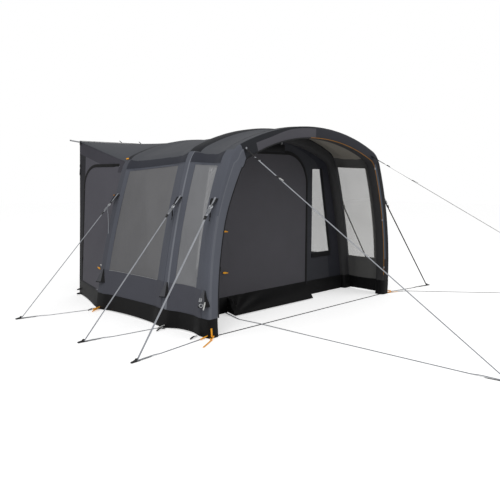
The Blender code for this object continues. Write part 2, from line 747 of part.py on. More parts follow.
def make_tunnel_roof():
    """Roof of the tunnel: from the rear arch's curve to the straight edge at the vehicle."""
    arch = ARCHES["rear"]
    half_rows = [("shoulder", EAVE + eave_shift(arch))] + [s for s in SHOULDER if s[1] > EAVE] + ROOF
    lengths = [0.0]
    outer_line = [station(arch, PANEL_INSET, w) for w in half_rows]
    for a, b in zip(outer_line, outer_line[1:]):
        lengths.append(lengths[-1] + math.dist(a, b))

    def grid(depth):
        right = []
        for where, length in zip(half_rows, lengths):
            a = station(arch, PANEL_INSET + depth, where)
            b = (TUNNEL_TOP_HALF * (1 - length / lengths[-1]), TUNNEL_TOP - depth)
            start = Y_REAR + HALF + GAP
            right.append([(*blend(a, b, (y - start) / (Y_EDGE - start)), y) for y in tunnel_columns()])
        right = [[(x, y, z) for x, z, y in row] for row in right]
        left = [[(-x, y, z) for x, y, z in row] for row in reversed(right[:-1])]
        return right + left
    return shell("roof_tunnel", grid(0.0), grid(FABRIC), ROOF_GREY, smooth=30)


def wall_plate(name, arch_name, colour):
    """An upright wall inside an arch, cut to the sleeve's inner side."""
    arch, y = ARCHES[arch_name], ARCH_Y[arch_name]
    inset = SLEEVE_DEPTH + GAP
    outline = both_sides([station(arch, inset, s) for s in [("height", WALL_BOTTOM)] + HALF_ARCH[1:]])
    return prism(name, outline, "Y", y - FABRIC / 2, y + FABRIC / 2, colour)


def front_window(side, grow):
    inner, sill, head = FRONT_WINDOW_INNER - grow, FRONT_WINDOW_SILL - grow, FRONT_WINDOW_TOP + grow
    return [(side * inner, sill), (side * (FRONT_WINDOW_INNER + FRONT_WINDOW_SILL_WIDTH + grow), sill),
            (side * (FRONT_WINDOW_INNER + FRONT_WINDOW_TOP_WIDTH + grow), head), (side * inner, head)]


def front_door_outline(grow, near_grow=None):
    return door_outline(-DOOR_HALF, DOOR_HALF, 0.0, DOOR_TOP, DOOR_CORNER, DOOR_CORNER, grow, near_grow)


def make_front():
    """Front wall in the middle arch: two windows, and a door hinged on its left with a zip round it."""
    wall = wall_plate("front_wall", "middle", INNER_GREY)
    boolean(wall, prism("front_door_hole", front_door_outline(0.0, GAP), "Y",
                        Y_MIDDLE - 0.05, Y_MIDDLE + 0.05), "DIFFERENCE")
    for side in (-1, 1):
        name = side_name(side)
        boolean(wall, prism("front_window_hole_" + name, front_window(side, GAP), "Y",
                            Y_MIDDLE - 0.05, Y_MIDDLE + 0.05), "DIFFERENCE")
        prism("window_front_" + name, front_window(side, 0.0), "Y", Y_MIDDLE - PANE / 2, Y_MIDDLE + PANE / 2,
              PANE_GREY, roughness=0.3)
    front, back = Y_MIDDLE - FABRIC / 2, Y_MIDDLE + FABRIC / 2
    band = zip_outline(-DOOR_HALF + DOOR_CORNER, DOOR_HALF, ZIP_BOTTOM, DOOR_TOP, DOOR_CORNER, GAP, ZIP_WIDTH)
    boolean(wall, prism("front_zip_band", band, "Y", front - ZIP_CLOTH, front + FABRIC / 2), "UNION")
    side_view = [(front, DOOR_TOP + 0.1), (back, DOOR_TOP + 0.1), (back, SKIRT_TOP),
                 (back - FLAP_REACH, FLAP_BOTTOM), (front - FLAP_REACH, FLAP_BOTTOM), (front, SKIRT_TOP)]
    door = prism("front_door", side_view, "X", -DOOR_HALF - 0.1, DOOR_HALF + 0.1, INNER_GREY)
    keep = prism("front_door_cut", front_door_outline(-DOOR_GAP, 0.0), "Y",
                 Y_MIDDLE - FLAP_REACH - 0.1, Y_MIDDLE + 0.05)
    boolean(door, keep, "INTERSECT")
    swing_room = [(-DOOR_HALF - 0.1, -0.1), (-DOOR_HALF + FLAP_MARGIN, -0.1),
                  (-DOOR_HALF + FLAP_MARGIN, SKIRT_TOP + GAP), (-DOOR_HALF - 0.1, SKIRT_TOP + GAP)]
    boolean(door, prism("door_flap_corner", swing_room, "Y", front - FLAP_REACH - 0.1, back + 0.1), "DIFFERENCE")
    put_origin(door, (-DOOR_HALF, front, 0.0))
    seat = Vector((DOOR_HALF + ZIP_WIDTH / 2, front - ZIP_CLOTH, FRONT_SLIDER_HEIGHT))
    make_slider("front_zip_slider", seat, Vector((0, 0, 1)), Vector((0, -1, 0)))
    for side, inner in ((-1, DOOR_HALF + HINGE_SIDE_ROOM), (1, DOOR_HALF + ZIP_WIDTH + GAP)):
        low = leg_x(ARCHES["middle"], SLEEVE_DEPTH, SKIRT_CLEARANCE) - GAP
        high = leg_x(ARCHES["middle"], SLEEVE_DEPTH, SKIRT_TOP) - GAP
        outline = [(side * inner, SKIRT_CLEARANCE), (side * low, SKIRT_CLEARANCE),
                   (side * high, SKIRT_TOP), (side * inner, SKIRT_TOP)]
        prism("front_skirt_" + side_name(side), outline, "Y", front - GAP - SKIRT_CLOTH, front - GAP, BLACK,
              roughness=0.7)


def make_rear():
    """Wall between room and tunnel with its passage, and the passage's door rolled up beside it."""
    wall = wall_plate("rear_wall", "rear", INNER_GREY)
    passage = door_outline(-PASSAGE_HALF, PASSAGE_HALF, -0.1, PASSAGE_TOP, PASSAGE_CORNER, PASSAGE_CORNER)
    boolean(wall, prism("passage", passage, "Y", Y_REAR - 0.05, Y_REAR + 0.05), "DIFFERENCE")
    frame = Matrix.Translation((-PASSAGE_HALF - ROLL_MARGIN - ROLL_RADIUS,
                                Y_REAR - FABRIC / 2 - GAP - ROLL_RADIUS, 0.0))
    span = ROLL_TOP - ROLL_BOTTOM
    profile = [(ROLL_TIE_RADIUS * 0.7, ROLL_BOTTOM)]
    profile.append((ROLL_RADIUS, ROLL_BOTTOM + ROLL_RADIUS / 2))
    for share in (1 / 3, 2 / 3):
        z = ROLL_BOTTOM + span * share
        profile += [(ROLL_RADIUS, z - TIE_WIDTH), (ROLL_TIE_RADIUS, z), (ROLL_RADIUS, z + TIE_WIDTH)]
    profile.append((ROLL_RADIUS, ROLL_TOP - ROLL_RADIUS / 2))
    profile.append((ROLL_TIE_RADIUS * 0.7, ROLL_TOP))
    turned("rear_door_roll", profile, frame, INNER_GREY, sides=12, smooth=60)


def outward(points, distance):
    """An open line of (inset, y) moved to its outer side by a distance, with mitred corners."""
    normals = []
    for a, b in zip(points, points[1:]):
        length = math.dist(a, b)
        normals.append((-(b[1] - a[1]) / length, (b[0] - a[0]) / length))
    moved = []
    for i, point in enumerate(points):
        first = normals[max(i - 1, 0)]
        second = normals[min(i, len(normals) - 1)]
        mid = (first[0] + second[0], first[1] + second[1])
        scale = 2 * distance / (mid[0] ** 2 + mid[1] ** 2)
        moved.append((point[0] + mid[0] * scale, point[1] + mid[1] * scale))
    return moved


def skirt_line():
    """The line that the mud wall follows in plan: inset, y, hem height, and the arches that set its width there."""
    section = sleeve_section()
    line = []

    def on_leg(name, points):
        return [(n, ARCH_Y[name] + y, SKIRT_CLEARANCE, (name, name, 0.0)) for n, y in points]

    def bay(first, last, rise):
        start, end = ARCH_Y[first] + HALF, ARCH_Y[last] - HALF
        points = []
        for y, share, sag in bay_columns(first, last):
            hem = SKIRT_CLEARANCE + rise * math.sin(math.pi * min(max((y - start) / (end - start), 0), 1))
            points.append((PANEL_INSET + sag, min(max(y, start), end), hem, (first, last, share)))
        return points
    lap = (PANEL_INSET + FABRIC + 2 * SKIRT_CLOTH, HALF)
    line += on_leg("front", [lap] + section[3:] + section[:3])
    line += bay("front", "middle", PORCH_HEM_RISE)
    line += on_leg("middle", section[7:] + section[:3])
    line += bay("middle", "rear", ROOM_HEM_RISE)
    line += on_leg("rear", section[7:] + section[:3])
    columns = tunnel_columns()
    line.append((PANEL_INSET, Y_REAR + HALF, SKIRT_CLEARANCE, ("rear", "edge", 0.0)))
    for y in columns[1:]:
        rise = TUNNEL_HEM_RISE * math.sin(math.pi * (y - columns[0]) / (Y_EDGE - columns[0]))
        line.append((PANEL_INSET, y, SKIRT_CLEARANCE + rise, ("rear", "edge", y)))
    return line


def skirt_x(inset, z, place):
    """Half width of the awning near the ground, at an inset from the sleeves' crest."""
    first, last, share = place
    if last != "edge":
        a, b = leg_x(ARCHES[first], inset, z), leg_x(ARCHES[last], inset, z)
        return a + (b - a) * share
    on_leg = leg_x(ARCHES["rear"], PANEL_INSET, z)
    if share == 0.0:
        return on_leg + PANEL_INSET - inset
    edge = TUNNEL_FOOT_HALF + (TUNNEL_TOP_HALF - TUNNEL_FOOT_HALF) * z / TUNNEL_TOP
    hinge = Y_REAR + SIDE_HINGE
    x = hinge_line_x(z) + (edge - hinge_line_x(z)) * (share - hinge) / (Y_EDGE - hinge)
    return x + PANEL_INSET - inset


def make_skirt(side):
    """Mud wall of one side: it wraps the front leg, passes the other legs and ends at the tunnel's edge."""
    line = skirt_line()
    plan = [(n, y) for n, y, _, _ in line]

    def grid(distance):
        rows = [[], [], []]
        for (n, y), (_, _, hem, place) in zip(outward(plan, distance), line):
            for row, z in zip(rows, (hem, SKIRT_TOP - SKIRT_LAP, SKIRT_TOP)):
                row.append((side * skirt_x(n, z, place), min(y, Y_EDGE), z))
        return rows
    return shell("skirt_" + side_name(side), grid(GAP + SKIRT_CLOTH), grid(GAP), BLACK, roughness=0.7)


def make_beading():
    """Bead on a tape along the tunnel's top edge, which slides into the vehicle's rail."""
    face = Y_EDGE + GAP
    centre = (face + BEAD / 2, TUNNEL_TOP - BEAD / 2)
    bead = arc(centre, BEAD / 2, -math.acos(2 * BEAD_TAPE / BEAD - 1), math.pi, 10)
    outline = [(face, TUNNEL_TOP - BEAD_DROP), (face + BEAD_TAPE, TUNNEL_TOP - BEAD_DROP)] + bead
    return prism("rail_beading", outline, "X", -BEAD_HALF, BEAD_HALF, BLACK, roughness=0.5)


def make_spacer():
    """Webbing between the two front feet that sets their spread."""
    end = leg_x(ARCHES["front"], SLEEVE_DEPTH, SKIRT_CLEARANCE) - 2 * (GAP + SKIRT_CLOTH)
    low, high = SPACER_LIFT, SPACER_LIFT + WEB
    front, back = SPACER_Y - WEB_WIDTH / 2, SPACER_Y + WEB_WIDTH / 2
    rings = []
    for x in (-end, -end / 3, end / 3, end):
        rings.append([(x, front, low), (x, back, low), (x, back, high), (x, front, high)])
    return loft("front_spacer_strap", rings, WEB_GREY)


def ribbon(name, path, sewn, colour):
    """Webbing along a path: its width is level, and along the given direction at each sewn point."""
    rings = []
    points = [Vector(p) for p in path]
    wide = sewn.get(0)
    for i, point in enumerate(points):
        ahead = points[min(i + 1, len(points) - 1)] - point
        behind = point - points[max(i - 1, 0)]
        along = (ahead.normalized() + behind.normalized()).normalized()
        level = Vector((along.y, -along.x, 0))
        if level.length > 0.1:
            level.normalize()
            wide = -level if wide and level.dot(wide) < 0 else level
        across = sewn.get(i - len(points), sewn.get(i, wide))
        half = (-across if across.dot(wide) < 0 else across) * (WEB_WIDTH / 2)
        up = half.cross(along).normalized() * (WEB / 2)
        rings.append([tuple(point - half - up), tuple(point + half - up), tuple(point + half + up),
                      tuple(point - half + up)])
    return loft(name, rings, colour)


def make_guy(name, start, peg, ground, foot, sewn={}, tail=0.0):
    """A guy: down to its peg, round the throat of the hook, and back along the ground to the awning."""
    start, foot = Vector(start), Vector(foot)
    peg = Vector((*peg, 0.0))
    lie = WEB / 2 + GAP
    route = [Vector((x, y, lie + lift)) for x, y, lift in ground] + [foot]
    out = Vector((peg.x - start.x, peg.y - start.y, 0)).normalized()
    back = Vector((route[0].x - peg.x, route[0].y - peg.y, 0)).normalized()
    up = Vector((0, 0, 1))
    under = 2 * PIN_RADIUS + 3 * GAP + WEB / 2
    hand = peg + out * 0.004 + up * (under + 0.011)
    path = [start + up * tail] * (tail > 0) + [start + (hand - start) * k / 6 for k in range(7)]
    path.append(peg + out * (THROAT - 0.004) + up * (under + 0.0075))
    path.append(peg + out * (THROAT - 0.004) + up * (under + 0.0025))
    path.append(peg + out * 0.006 + up * under)
    path.append(peg + back * (PIN_LENGTH + 0.03) + up * under)
    path.append(peg + back * (PIN_LENGTH + 0.12) + up * lie)
    ribbon("guy_" + name, path + route, sewn, WEB_GREY)
    make_peg(name, peg, out, up.cross(out))


def make_peg(name, peg, out, across):
    """Steel pin with a hook head: the webbing folds round the throat of the hook."""
    frame = Matrix((out, across, Vector((0, 0, 1)))).transposed().to_4x4()
    frame.translation = peg
    base = 2 * PIN_RADIUS
    lip = HOOK_HEIGHT - 0.005
    outline = [(-0.022, GAP), (HOOK_LENGTH - 0.006, GAP), (HOOK_LENGTH, 0.006), (HOOK_LENGTH - 0.004, 0.012),
               (THROAT + 0.016, 0.019), (THROAT + 0.006, HOOK_HEIGHT), (THROAT - 0.008, HOOK_HEIGHT),
               (THROAT - 0.010, lip + 0.002), (THROAT - 0.003, lip), (THROAT, lip - 0.004), (THROAT, base + 0.002),
               (THROAT - 0.002, base), (-0.022, base)]
    rings = []
    for w in (-HOOK_WIDTH / 2, HOOK_WIDTH / 2):
        rings.append([tuple(frame @ Vector((s, w, z))) for s, z in outline])
    head = loft("peg_" + name, rings, BLACK, roughness=0.55)
    pin_frame = frame @ Matrix.Translation((0, 0, PIN_RADIUS)) @ Matrix.Rotation(math.radians(-90), 4, "Y")
    tip = PIN_LENGTH - 0.02
    profile = [(PIN_RADIUS * 0.9, 0.004), (PIN_RADIUS * 0.9, tip), (PIN_RADIUS * 0.25, PIN_LENGTH)]
    pin = turned("pin_" + name, profile, pin_frame, sides=8)
    boolean(head, pin, "UNION")
    return head


def make_guys():
    """Three guys on each side, and one forward from each shoulder of the front arch."""
    for side in (-1, 1):
        for name in ("front", "middle", "rear"):
            frame = crest_frame(name, SIDE_GUY_HEIGHT, side)
            start = frame.translation + frame.to_3x3() @ Vector((0, 0, GAP + WEB))
            foot_x = leg_x(ARCHES[name], 0.0, SKIRT_CLEARANCE) + 2 * (GAP + SKIRT_CLOTH)
            foot = (side * foot_x, ARCH_Y[name], WEB / 2 + 4 * GAP)
            peg = (side * SIDE_PEG_X, PHOTO_Y + SIDE_PEG_Y[name])
            middle = (*blend(peg, foot[:2], 0.6), 0.0)
            make_guy(side_name(side) + "_" + name, start, peg, [middle], foot)
    face = Y_FRONT - HALF - GAP - WEB / 2
    arch = ARCHES["front"]
    wide = Vector((1, 0, 0))

    def shoulder(x):
        radius = arch["roof"] - FRONT_GUY_INSET
        return arch["centres"]["roof"][1] + math.sqrt(radius ** 2 - x ** 2)
    start = (-LEFT_FRONT_GUY_X, face, shoulder(LEFT_FRONT_GUY_X))
    peg = (LEFT_FRONT_PEG[0], PHOTO_Y + LEFT_FRONT_PEG[1])
    over = SPACER_LIFT + WEB + GAP
    lying, by_wall = [(x, PHOTO_Y + y, 0.0) for x, y in LEFT_FRONT_GROUND]
    crossing = [(lying[0], SPACER_Y + reach * WEB_WIDTH, over) for reach in (-2, 2)]
    ground = [lying, *crossing, by_wall]
    foot = (-LEFT_FRONT_FOOT_X, Y_MIDDLE - FABRIC / 2 - 3 * GAP - SKIRT_CLOTH, WALL_BOTTOM + WEB)
    make_guy("front_left", start, peg, ground, foot, {0: wide, 1: wide, -1: wide}, FRONT_GUY_TAIL)
    start = (RIGHT_FRONT_GUY_X, face, shoulder(RIGHT_FRONT_GUY_X))
    peg = (RIGHT_FRONT_PEG[0], PHOTO_Y + RIGHT_FRONT_PEG[1])
    ground = [(x, PHOTO_Y + y, 0.0) for x, y in RIGHT_FRONT_GROUND]
    foot = (leg_x(arch, 0.0, SKIRT_CLEARANCE) + 3 * (GAP + SKIRT_CLOTH), PHOTO_Y + RIGHT_FRONT_FOOT_Y, WEB)
    make_guy("front_right", start, peg, ground, foot, {0: wide, 1: wide, -1: Vector((0, 1, 0))}, FRONT_GUY_TAIL)


for arch_name in ARCHES:
    make_beam(arch_name)
    make_sleeve(arch_name)
    make_cap(arch_name)
    make_cover_flap(arch_name)
make_roof("porch", "front", "middle")
make_roof("room", "middle", "rear")
make_tunnel_roof()
for hand_side in (-1, 1):
    make_wall("porch_" + side_name(hand_side), "front", "middle", hand_side, porch_window)
    make_wall("room_" + side_name(hand_side), "middle", "rear", hand_side, room_window)
    make_tunnel_side(hand_side)
    make_skirt(hand_side)
make_front()
make_rear()
make_beading()
make_spacer()
make_guys()
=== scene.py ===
import math

import bpy
import numpy as np
from mathutils import Matrix, Vector, noise


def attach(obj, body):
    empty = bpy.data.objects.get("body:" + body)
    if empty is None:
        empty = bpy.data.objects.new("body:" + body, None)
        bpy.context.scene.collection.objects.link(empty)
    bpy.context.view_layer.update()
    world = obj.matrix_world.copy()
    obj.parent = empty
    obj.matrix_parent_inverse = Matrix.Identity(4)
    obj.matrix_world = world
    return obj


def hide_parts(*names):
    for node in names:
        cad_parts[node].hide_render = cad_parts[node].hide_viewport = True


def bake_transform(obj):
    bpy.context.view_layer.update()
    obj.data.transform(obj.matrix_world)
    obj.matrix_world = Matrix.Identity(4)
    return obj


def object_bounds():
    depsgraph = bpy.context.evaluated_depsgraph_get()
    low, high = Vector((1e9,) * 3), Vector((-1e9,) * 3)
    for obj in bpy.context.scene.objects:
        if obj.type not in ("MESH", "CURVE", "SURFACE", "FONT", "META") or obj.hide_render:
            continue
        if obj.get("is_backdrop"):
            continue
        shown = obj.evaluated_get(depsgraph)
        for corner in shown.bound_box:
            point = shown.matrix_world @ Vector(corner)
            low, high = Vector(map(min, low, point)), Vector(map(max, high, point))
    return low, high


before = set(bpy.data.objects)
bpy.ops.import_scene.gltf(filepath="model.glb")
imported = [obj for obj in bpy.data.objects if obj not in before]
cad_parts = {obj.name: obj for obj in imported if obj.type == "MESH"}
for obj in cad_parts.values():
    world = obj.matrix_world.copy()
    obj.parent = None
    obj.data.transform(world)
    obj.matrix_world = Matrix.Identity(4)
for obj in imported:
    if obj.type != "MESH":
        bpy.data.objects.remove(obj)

cad_low, cad_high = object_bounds()

# The awning in metres: -Y is the porch, +Y the vehicle, -X the side of the valves
GAP = 0.0003                     # between pieces that lie on each other
SLEEVE = 0.13                    # a beam sleeve's width and depth
HALF = SLEEVE / 2
HEEL, ROUND = 0.035, 0.016       # radii of its inner and outer corners
PANEL_INSET, SAG = 0.022, 0.015  # how deep a panel lies under the crests, and its slack
LAP, DIP = 0.020, 0.18           # how far it laps over a sleeve, and its way down from there
FABRIC = 0.003                   # the CAD's cloth
SKIRT_TOP = 0.19
EAVE = 0.5                       # the share of the shoulder where wall and roof meet
Y = {"front": -1.40545, "middle": -0.77045, "rear": 0.47955, "edge": 1.46655}
FACE = Y["front"] - HALF
SIDES = ((-1, "left"), (1, "right"))
BODY = "awning"
ACROSS, ALONG, UP = Vector((1, 0, 0)), Vector((0, 1, 0)), Vector((0, 0, 1))
FORWARD = (0, -1, 0)


# ---------------------------------------------------------------- the arches

def arch_of(foot, crown, roof, roof_end, shoulder, leg):
    """An arch of three tangent arcs, given by their radii: leg, shoulder and roof. The leg is
    turned until its foot is in place."""
    turn = math.asin(roof_end / roof)
    middle = (0.0, crown - roof)
    corner = ((roof - shoulder) * math.sin(turn), middle[1] + (roof - shoulder) * math.cos(turn))

    def low(angle):
        return (corner[0] + (shoulder - leg) * math.sin(angle),
                corner[1] + (shoulder - leg) * math.cos(angle))
    least, most = math.radians(50), math.radians(89)
    for _ in range(60):
        lean = (least + most) / 2
        x, z = low(lean)
        if x + math.sqrt(leg ** 2 - z ** 2) > foot:
            least = lean
        else:
            most = lean
    lean = (least + most) / 2
    return {"roof": roof, "shoulder": shoulder, "leg": leg, "turn": turn, "lean": lean,
            "centre": {"roof": middle, "shoulder": corner, "leg": low(lean)}}


ARCH = {
    "front": arch_of(1.60, 2.11, 3.03, 1.163, 0.304, 3.71),
    "middle": arch_of(1.64, 2.125, 2.70, 1.105, 0.30, 9.1),
    "rear": arch_of(1.64, 2.045, 2.68, 1.057, 0.30, 9.0),
}


def leg_x(name, inset, z):
    arch = ARCH[name]
    x, centre_z = arch["centre"]["leg"]
    return x + math.sqrt((arch["leg"] - inset) ** 2 - (z - centre_z) ** 2)


def on_arc(name, part, inset, angle):
    arch = ARCH[name]
    x, z = arch["centre"][part]
    return (x + (arch[part] - inset) * math.sin(angle), z + (arch[part] - inset) * math.cos(angle))


def station(name, inset, s):
    """A point (x, z) of an arch. s: 0 at the ground, 1 at the mud wall's top, 2 at the shoulder,
    3 at the roof, 4 at the crown, and on to 8 at the other foot."""
    if s > 4:
        x, z = station(name, inset, 8 - s)
        return (-x, z)
    arch = ARCH[name]
    if s <= 1:
        return (leg_x(name, inset, s * SKIRT_TOP), s * SKIRT_TOP)
    if s <= 2:
        top = on_arc(name, "leg", inset, arch["lean"])[1]
        z = SKIRT_TOP + (s - 1) * (top - SKIRT_TOP)
        return (leg_x(name, inset, z), z)
    if s <= 3:
        return on_arc(name, "shoulder", inset, arch["lean"] + (s - 2) * (arch["turn"] - arch["lean"]))
    return on_arc(name, "roof", inset, arch["turn"] * (4 - s))


def outline_x(name, inset, z):
    """Half width of an arch at a height, up to the end of its shoulder."""
    arch = ARCH[name]
    if z <= on_arc(name, "leg", inset, arch["lean"])[1]:
        return leg_x(name, inset, z)
    x, centre_z = arch["centre"]["shoulder"]
    return x + math.sqrt(max((arch["shoulder"] - inset) ** 2 - (z - centre_z) ** 2, 0))


def crest(name, height, side=-1):
    """Where a leg's crest is at a height: its point, the way up the leg, and out."""
    a, b = [(leg_x(name, 0.0, z), z) for z in (height - 0.02, height + 0.02)]
    up = Vector((side * (b[0] - a[0]), 0, b[1] - a[1])).normalized()
    out = Vector((side * up.z, 0, -side * up.x)).normalized()
    return Vector((side * leg_x(name, 0.0, height), Y[name], height)), up, out


def mix(a, b, t):
    return tuple(p + (q - p) * t for p, q in zip(a, b))


def smooth(t):
    t = min(max(t, 0.0), 1.0)
    return t * t * (3 - 2 * t)


def steps(first, last, count):
    return [first + (last - first) * k / count for k in range(count + 1)]


def chain(*runs):
    """Runs of values end to end: each is (first, last, count)."""
    made = [runs[0][0]]
    for first, last, count in runs:
        made += steps(first, last, count)[1:]
    return made


def line(a, b, count):
    """Points on a straight line."""
    return [mix(a, b, k / count) for k in range(count + 1)]


def panel_inset(y, start, end):
    """How deep a panel lies under the crests: sewn on flush over the sleeves' edges, and lower and
    slack in the middle."""
    dip = smooth(min(y - start, end - y) / DIP)
    return -0.003 + dip * (PANEL_INSET + 0.003 + SAG * math.sin(math.pi * (y - start) / (end - start)))


# ---------------------------------------------------------------- camera

def aimed(name, data, place, towards):
    """Puts a camera or a lamp in its place, facing along a direction."""
    made = bpy.data.objects.new(name, data)
    bpy.context.collection.objects.link(made)
    made.location = place
    made.rotation_mode = "QUATERNION"
    made.rotation_quaternion = Vector(towards).to_track_quat("-Z", "Y")
    return made


camera = aimed("camera", bpy.data.cameras.new("camera"), (-5.288, -5.6395, 1.544),
               (0.7078, 0.6960, -0.1210))
camera.data.sensor_width, camera.data.lens, camera.data.clip_end = 36, 42.52, 200
bpy.context.scene.camera = camera


# ---------------------------------------------------------------- finishes

def colour(code):
    """An sRGB hex colour as the linear values that a shader takes."""
    parts = [int(code[i:i + 2], 16) / 255 for i in (1, 3, 5)]
    return (*[c / 12.92 if c <= 0.04045 else ((c + 0.055) / 1.055) ** 2.4 for c in parts], 1.0)


def node(tree, kind, settings=(), **links):
    """Adds a node. settings are its own properties and socket values; links come from other nodes'
    sockets, where i0 is the input with the number 0."""
    made = tree.nodes.new("ShaderNode" + kind)
    for key, value in dict(settings).items():
        if isinstance(key, str) and hasattr(made, key):
            setattr(made, key, value)
        else:
            made.inputs[key].default_value = value
    for key, source in links.items():
        tree.links.new(source, made.inputs[int(key[1:]) if key[0] == "i" else key])
    return made


class Finish:
    """A material, and the patterns that drive its shader. They lie in the piece's own space or on
    its cloth."""

    def __init__(self, name, **values):
        self.material = bpy.data.materials.new(name)
        self.material.use_nodes = True
        self.tree = self.material.node_tree
        self.shader = self.tree.nodes["Principled BSDF"]
        for key, value in values.items():
            self.shader.inputs[key.replace("_", " ")].default_value = value

    def cloud(self, scale, detail, **settings):
        space = node(self.tree, "TexCoord").outputs["Object"]
        return node(self.tree, "TexNoise", {"Scale": scale, "Detail": detail, **settings},
                    Vector=space).outputs["Fac"]

    def threads(self, spacing, direction, distortion=0.0):
        """Threads or ribs that are spacing mm apart."""
        place = node(self.tree, "UVMap", {"uv_map": "cloth"}).outputs[0]
        settings = {"Scale": 100 * math.pi / spacing, "bands_direction": direction, "Distortion": distortion}
        return node(self.tree, "TexWave", settings, Vector=place).outputs["Fac"]

    def drive(self, socket, made):
        self.tree.links.new(made.outputs[0], self.shader.inputs[socket])

    def colour(self, code, spread, pattern):
        """A colour that wanders a little to both sides of its own value with a pattern."""
        ramp = node(self.tree, "ValToRGB", Fac=pattern)
        base = np.array(colour(code)[:3])
        for stop, place, share in zip(ramp.color_ramp.elements, (0.3, 0.7), (1 - spread, 1 + spread)):
            stop.position, stop.color = place, (*(base * share), 1)
        self.drive("Base Color", ramp)

    def span(self, socket, low, high, pattern):
        self.drive(socket, node(self.tree, "MapRange", {"To Min": low, "To Max": high}, Value=pattern))

    def bump(self, strength, distance, pattern):
        settings = {"Strength": strength, "Distance": distance}
        self.drive("Normal", node(self.tree, "Bump", settings, Height=pattern))


def woven(name, code, roughness=0.78, spread=0.05, coat=0.0, gloss=0.2):
    """Coated polyester cloth in plain weave. Its threads are about 0.5 mm, too fine for the render,
    so they are drawn 2 mm apart. Broad clouds stand for uneven gloss and the dust of use."""
    made = Finish(name, Sheen_Weight=0.03, Sheen_Roughness=0.5, Specular_IOR_Level=gloss, Coat_Weight=coat)
    cloud = made.cloud(2.2, 5.0, Roughness=0.6)
    both = node(made.tree, "Math", {"operation": "MULTIPLY_ADD", 1: 0.3}, i0=made.cloud(160.0, 2.0), i2=cloud)
    less = node(made.tree, "Math", {"operation": "SUBTRACT", 1: 0.15}, i0=both.outputs[0])
    made.colour(code, spread, less.outputs[0])
    made.span("Roughness", roughness - 0.06, roughness + 0.06, cloud)
    weave = node(made.tree, "Math", {"operation": "MULTIPLY"}, i0=made.threads(2.0, "X"), i1=made.threads(2.0, "Y"))
    made.bump(0.25, 0.0004, weave.outputs[0])
    return made.material


def moulded(name, code, roughness=0.42, metallic=0.0, grain=900.0):
    """A moulded or cast part: mould grain as a fine bump, and lighter patches where hands rub it."""
    made = Finish(name, Metallic=metallic)
    rub = made.cloud(35.0, 3.0)
    made.colour(code, 0.08, rub)
    made.span("Roughness", roughness - 0.08, roughness + 0.08, rub)
    made.bump(0.15, 0.0002, made.cloud(grain, 2.0))
    return made.material


def webbing(name, code, ribs=2.5):
    """Polyester webbing: ribs across its length that the flat weave leaves, drawn ribs mm apart
    where the real ones are 1.5 mm."""
    made = Finish(name, Roughness=0.75, Specular_IOR_Level=0.25, Sheen_Weight=0.06)
    made.colour(code, 0.12, made.cloud(9.0, 4.0))
    made.bump(0.5, 0.0005, made.threads(ribs, "Y", 0.4))
    return made.material


def film(name, code, least, most):
    """PVC window film: its tint lets part of the daylight through, with a slight haze and long soft
    ripples. least and most are its cover, from 0, clear, to 1."""
    made = Finish(name, Roughness=0.3, Specular_IOR_Level=0.3)
    haze = made.cloud(3.0, 4.0)
    made.colour(code, 0.06, haze)
    made.span("Alpha", most, least, haze)
    made.bump(0.30, 0.006, made.cloud(7.0, 2.0))
    return made.material


WALL = woven("side wall polyester", "#505159")
BAND = woven("window surround polyester", "#595c65")
EAVE_BAND = woven("eave band polyester", "#363840")
TUNNEL_WALL = woven("tunnel wall polyester", "#57565d")
GUSSET = woven("tunnel wall polyester over the door", "#45444b")
EDGE_WALL = woven("tunnel wall polyester beside the vehicle", "#2f2f33")
LEG_CLOTH = woven("sleeve polyester on the legs", "#5c5f68", roughness=0.62)
REAR_CLOTH = woven("sleeve polyester on the rear legs", "#50525a", roughness=0.7)
CROWN_CLOTH = woven("sleeve polyester over the roof", "#202227", roughness=0.66)
BROW_CLOTH = woven("sleeve polyester at the brow", "#4e4d53", roughness=0.66)
NAVY_CLOTH = woven("sleeve polyester, navy", "#2b2c33", roughness=0.66)
SLATE_CLOTH = woven("sleeve polyester, slate blue", "#46505c", roughness=0.62)
# Painted shade: the right front leg's face, dark as it lies in shadow
RIGHT_LEG_SHADE = woven("sleeve polyester, soot", "#1f1f22", roughness=0.7)
# Pale cloth strips that paint the highlight on the legs' front corners
MIDDLE_LEG_HIGHLIGHT = woven("pale edge cloth", "#797c84", roughness=0.5, coat=0.1)
FRONT_LEG_HIGHLIGHT = woven("paler cloth, painted highlight on the front leg's edge", "#676a72", roughness=0.6)
SLEEVE_LINING = woven("sleeve polyester, inner side", "#39393a", roughness=0.8)
ROOF_CLOTH = woven("roof polyester", "#55575c")
LINING = woven("unlined side of the roof cloth", "#928d84", roughness=0.85)
WALL_LINING = woven("unlined side of the wall cloth", "#595958", roughness=0.85)
FRONT_WALL_SHADE = woven("front wall polyester", "#36373c")
SLEEVE_CORNER_SHADE = woven("inner wall polyester beside the sleeve", "#292a31")
INNER = woven("inner wall polyester", "#4f4e53")
MUD = woven("PVC-coated mud wall cloth", "#0d0d0e", roughness=0.5, spread=0.12, gloss=0.16)
TRIM = woven("binding tape", "#26272c")
PALE_HEM = woven("pale hem tape", "#8d8e90", roughness=0.7)
BLACK_CLOTH_AND_HOOD_SHADE = woven("black ripstop cloth, also painted shade on the valve hoods", "#141416", roughness=0.6)
HOOD = woven("coated cloth of the valve hood", "#4a4b50", roughness=0.55, gloss=0.3)
GUY_WEB = webbing("grey polyester webbing", "#a2a5ab")
BLACK_WEB = webbing("black polyester webbing", "#1b1b1d")
PALE_WEB = webbing("pale polyester webbing", "#c9cac8", ribs=2.0)
ORANGE = webbing("orange polyester webbing", "#ffb22c", ribs=2.0)
ORANGE_CORD = webbing("orange piping", "#a8701e", ribs=2.0)
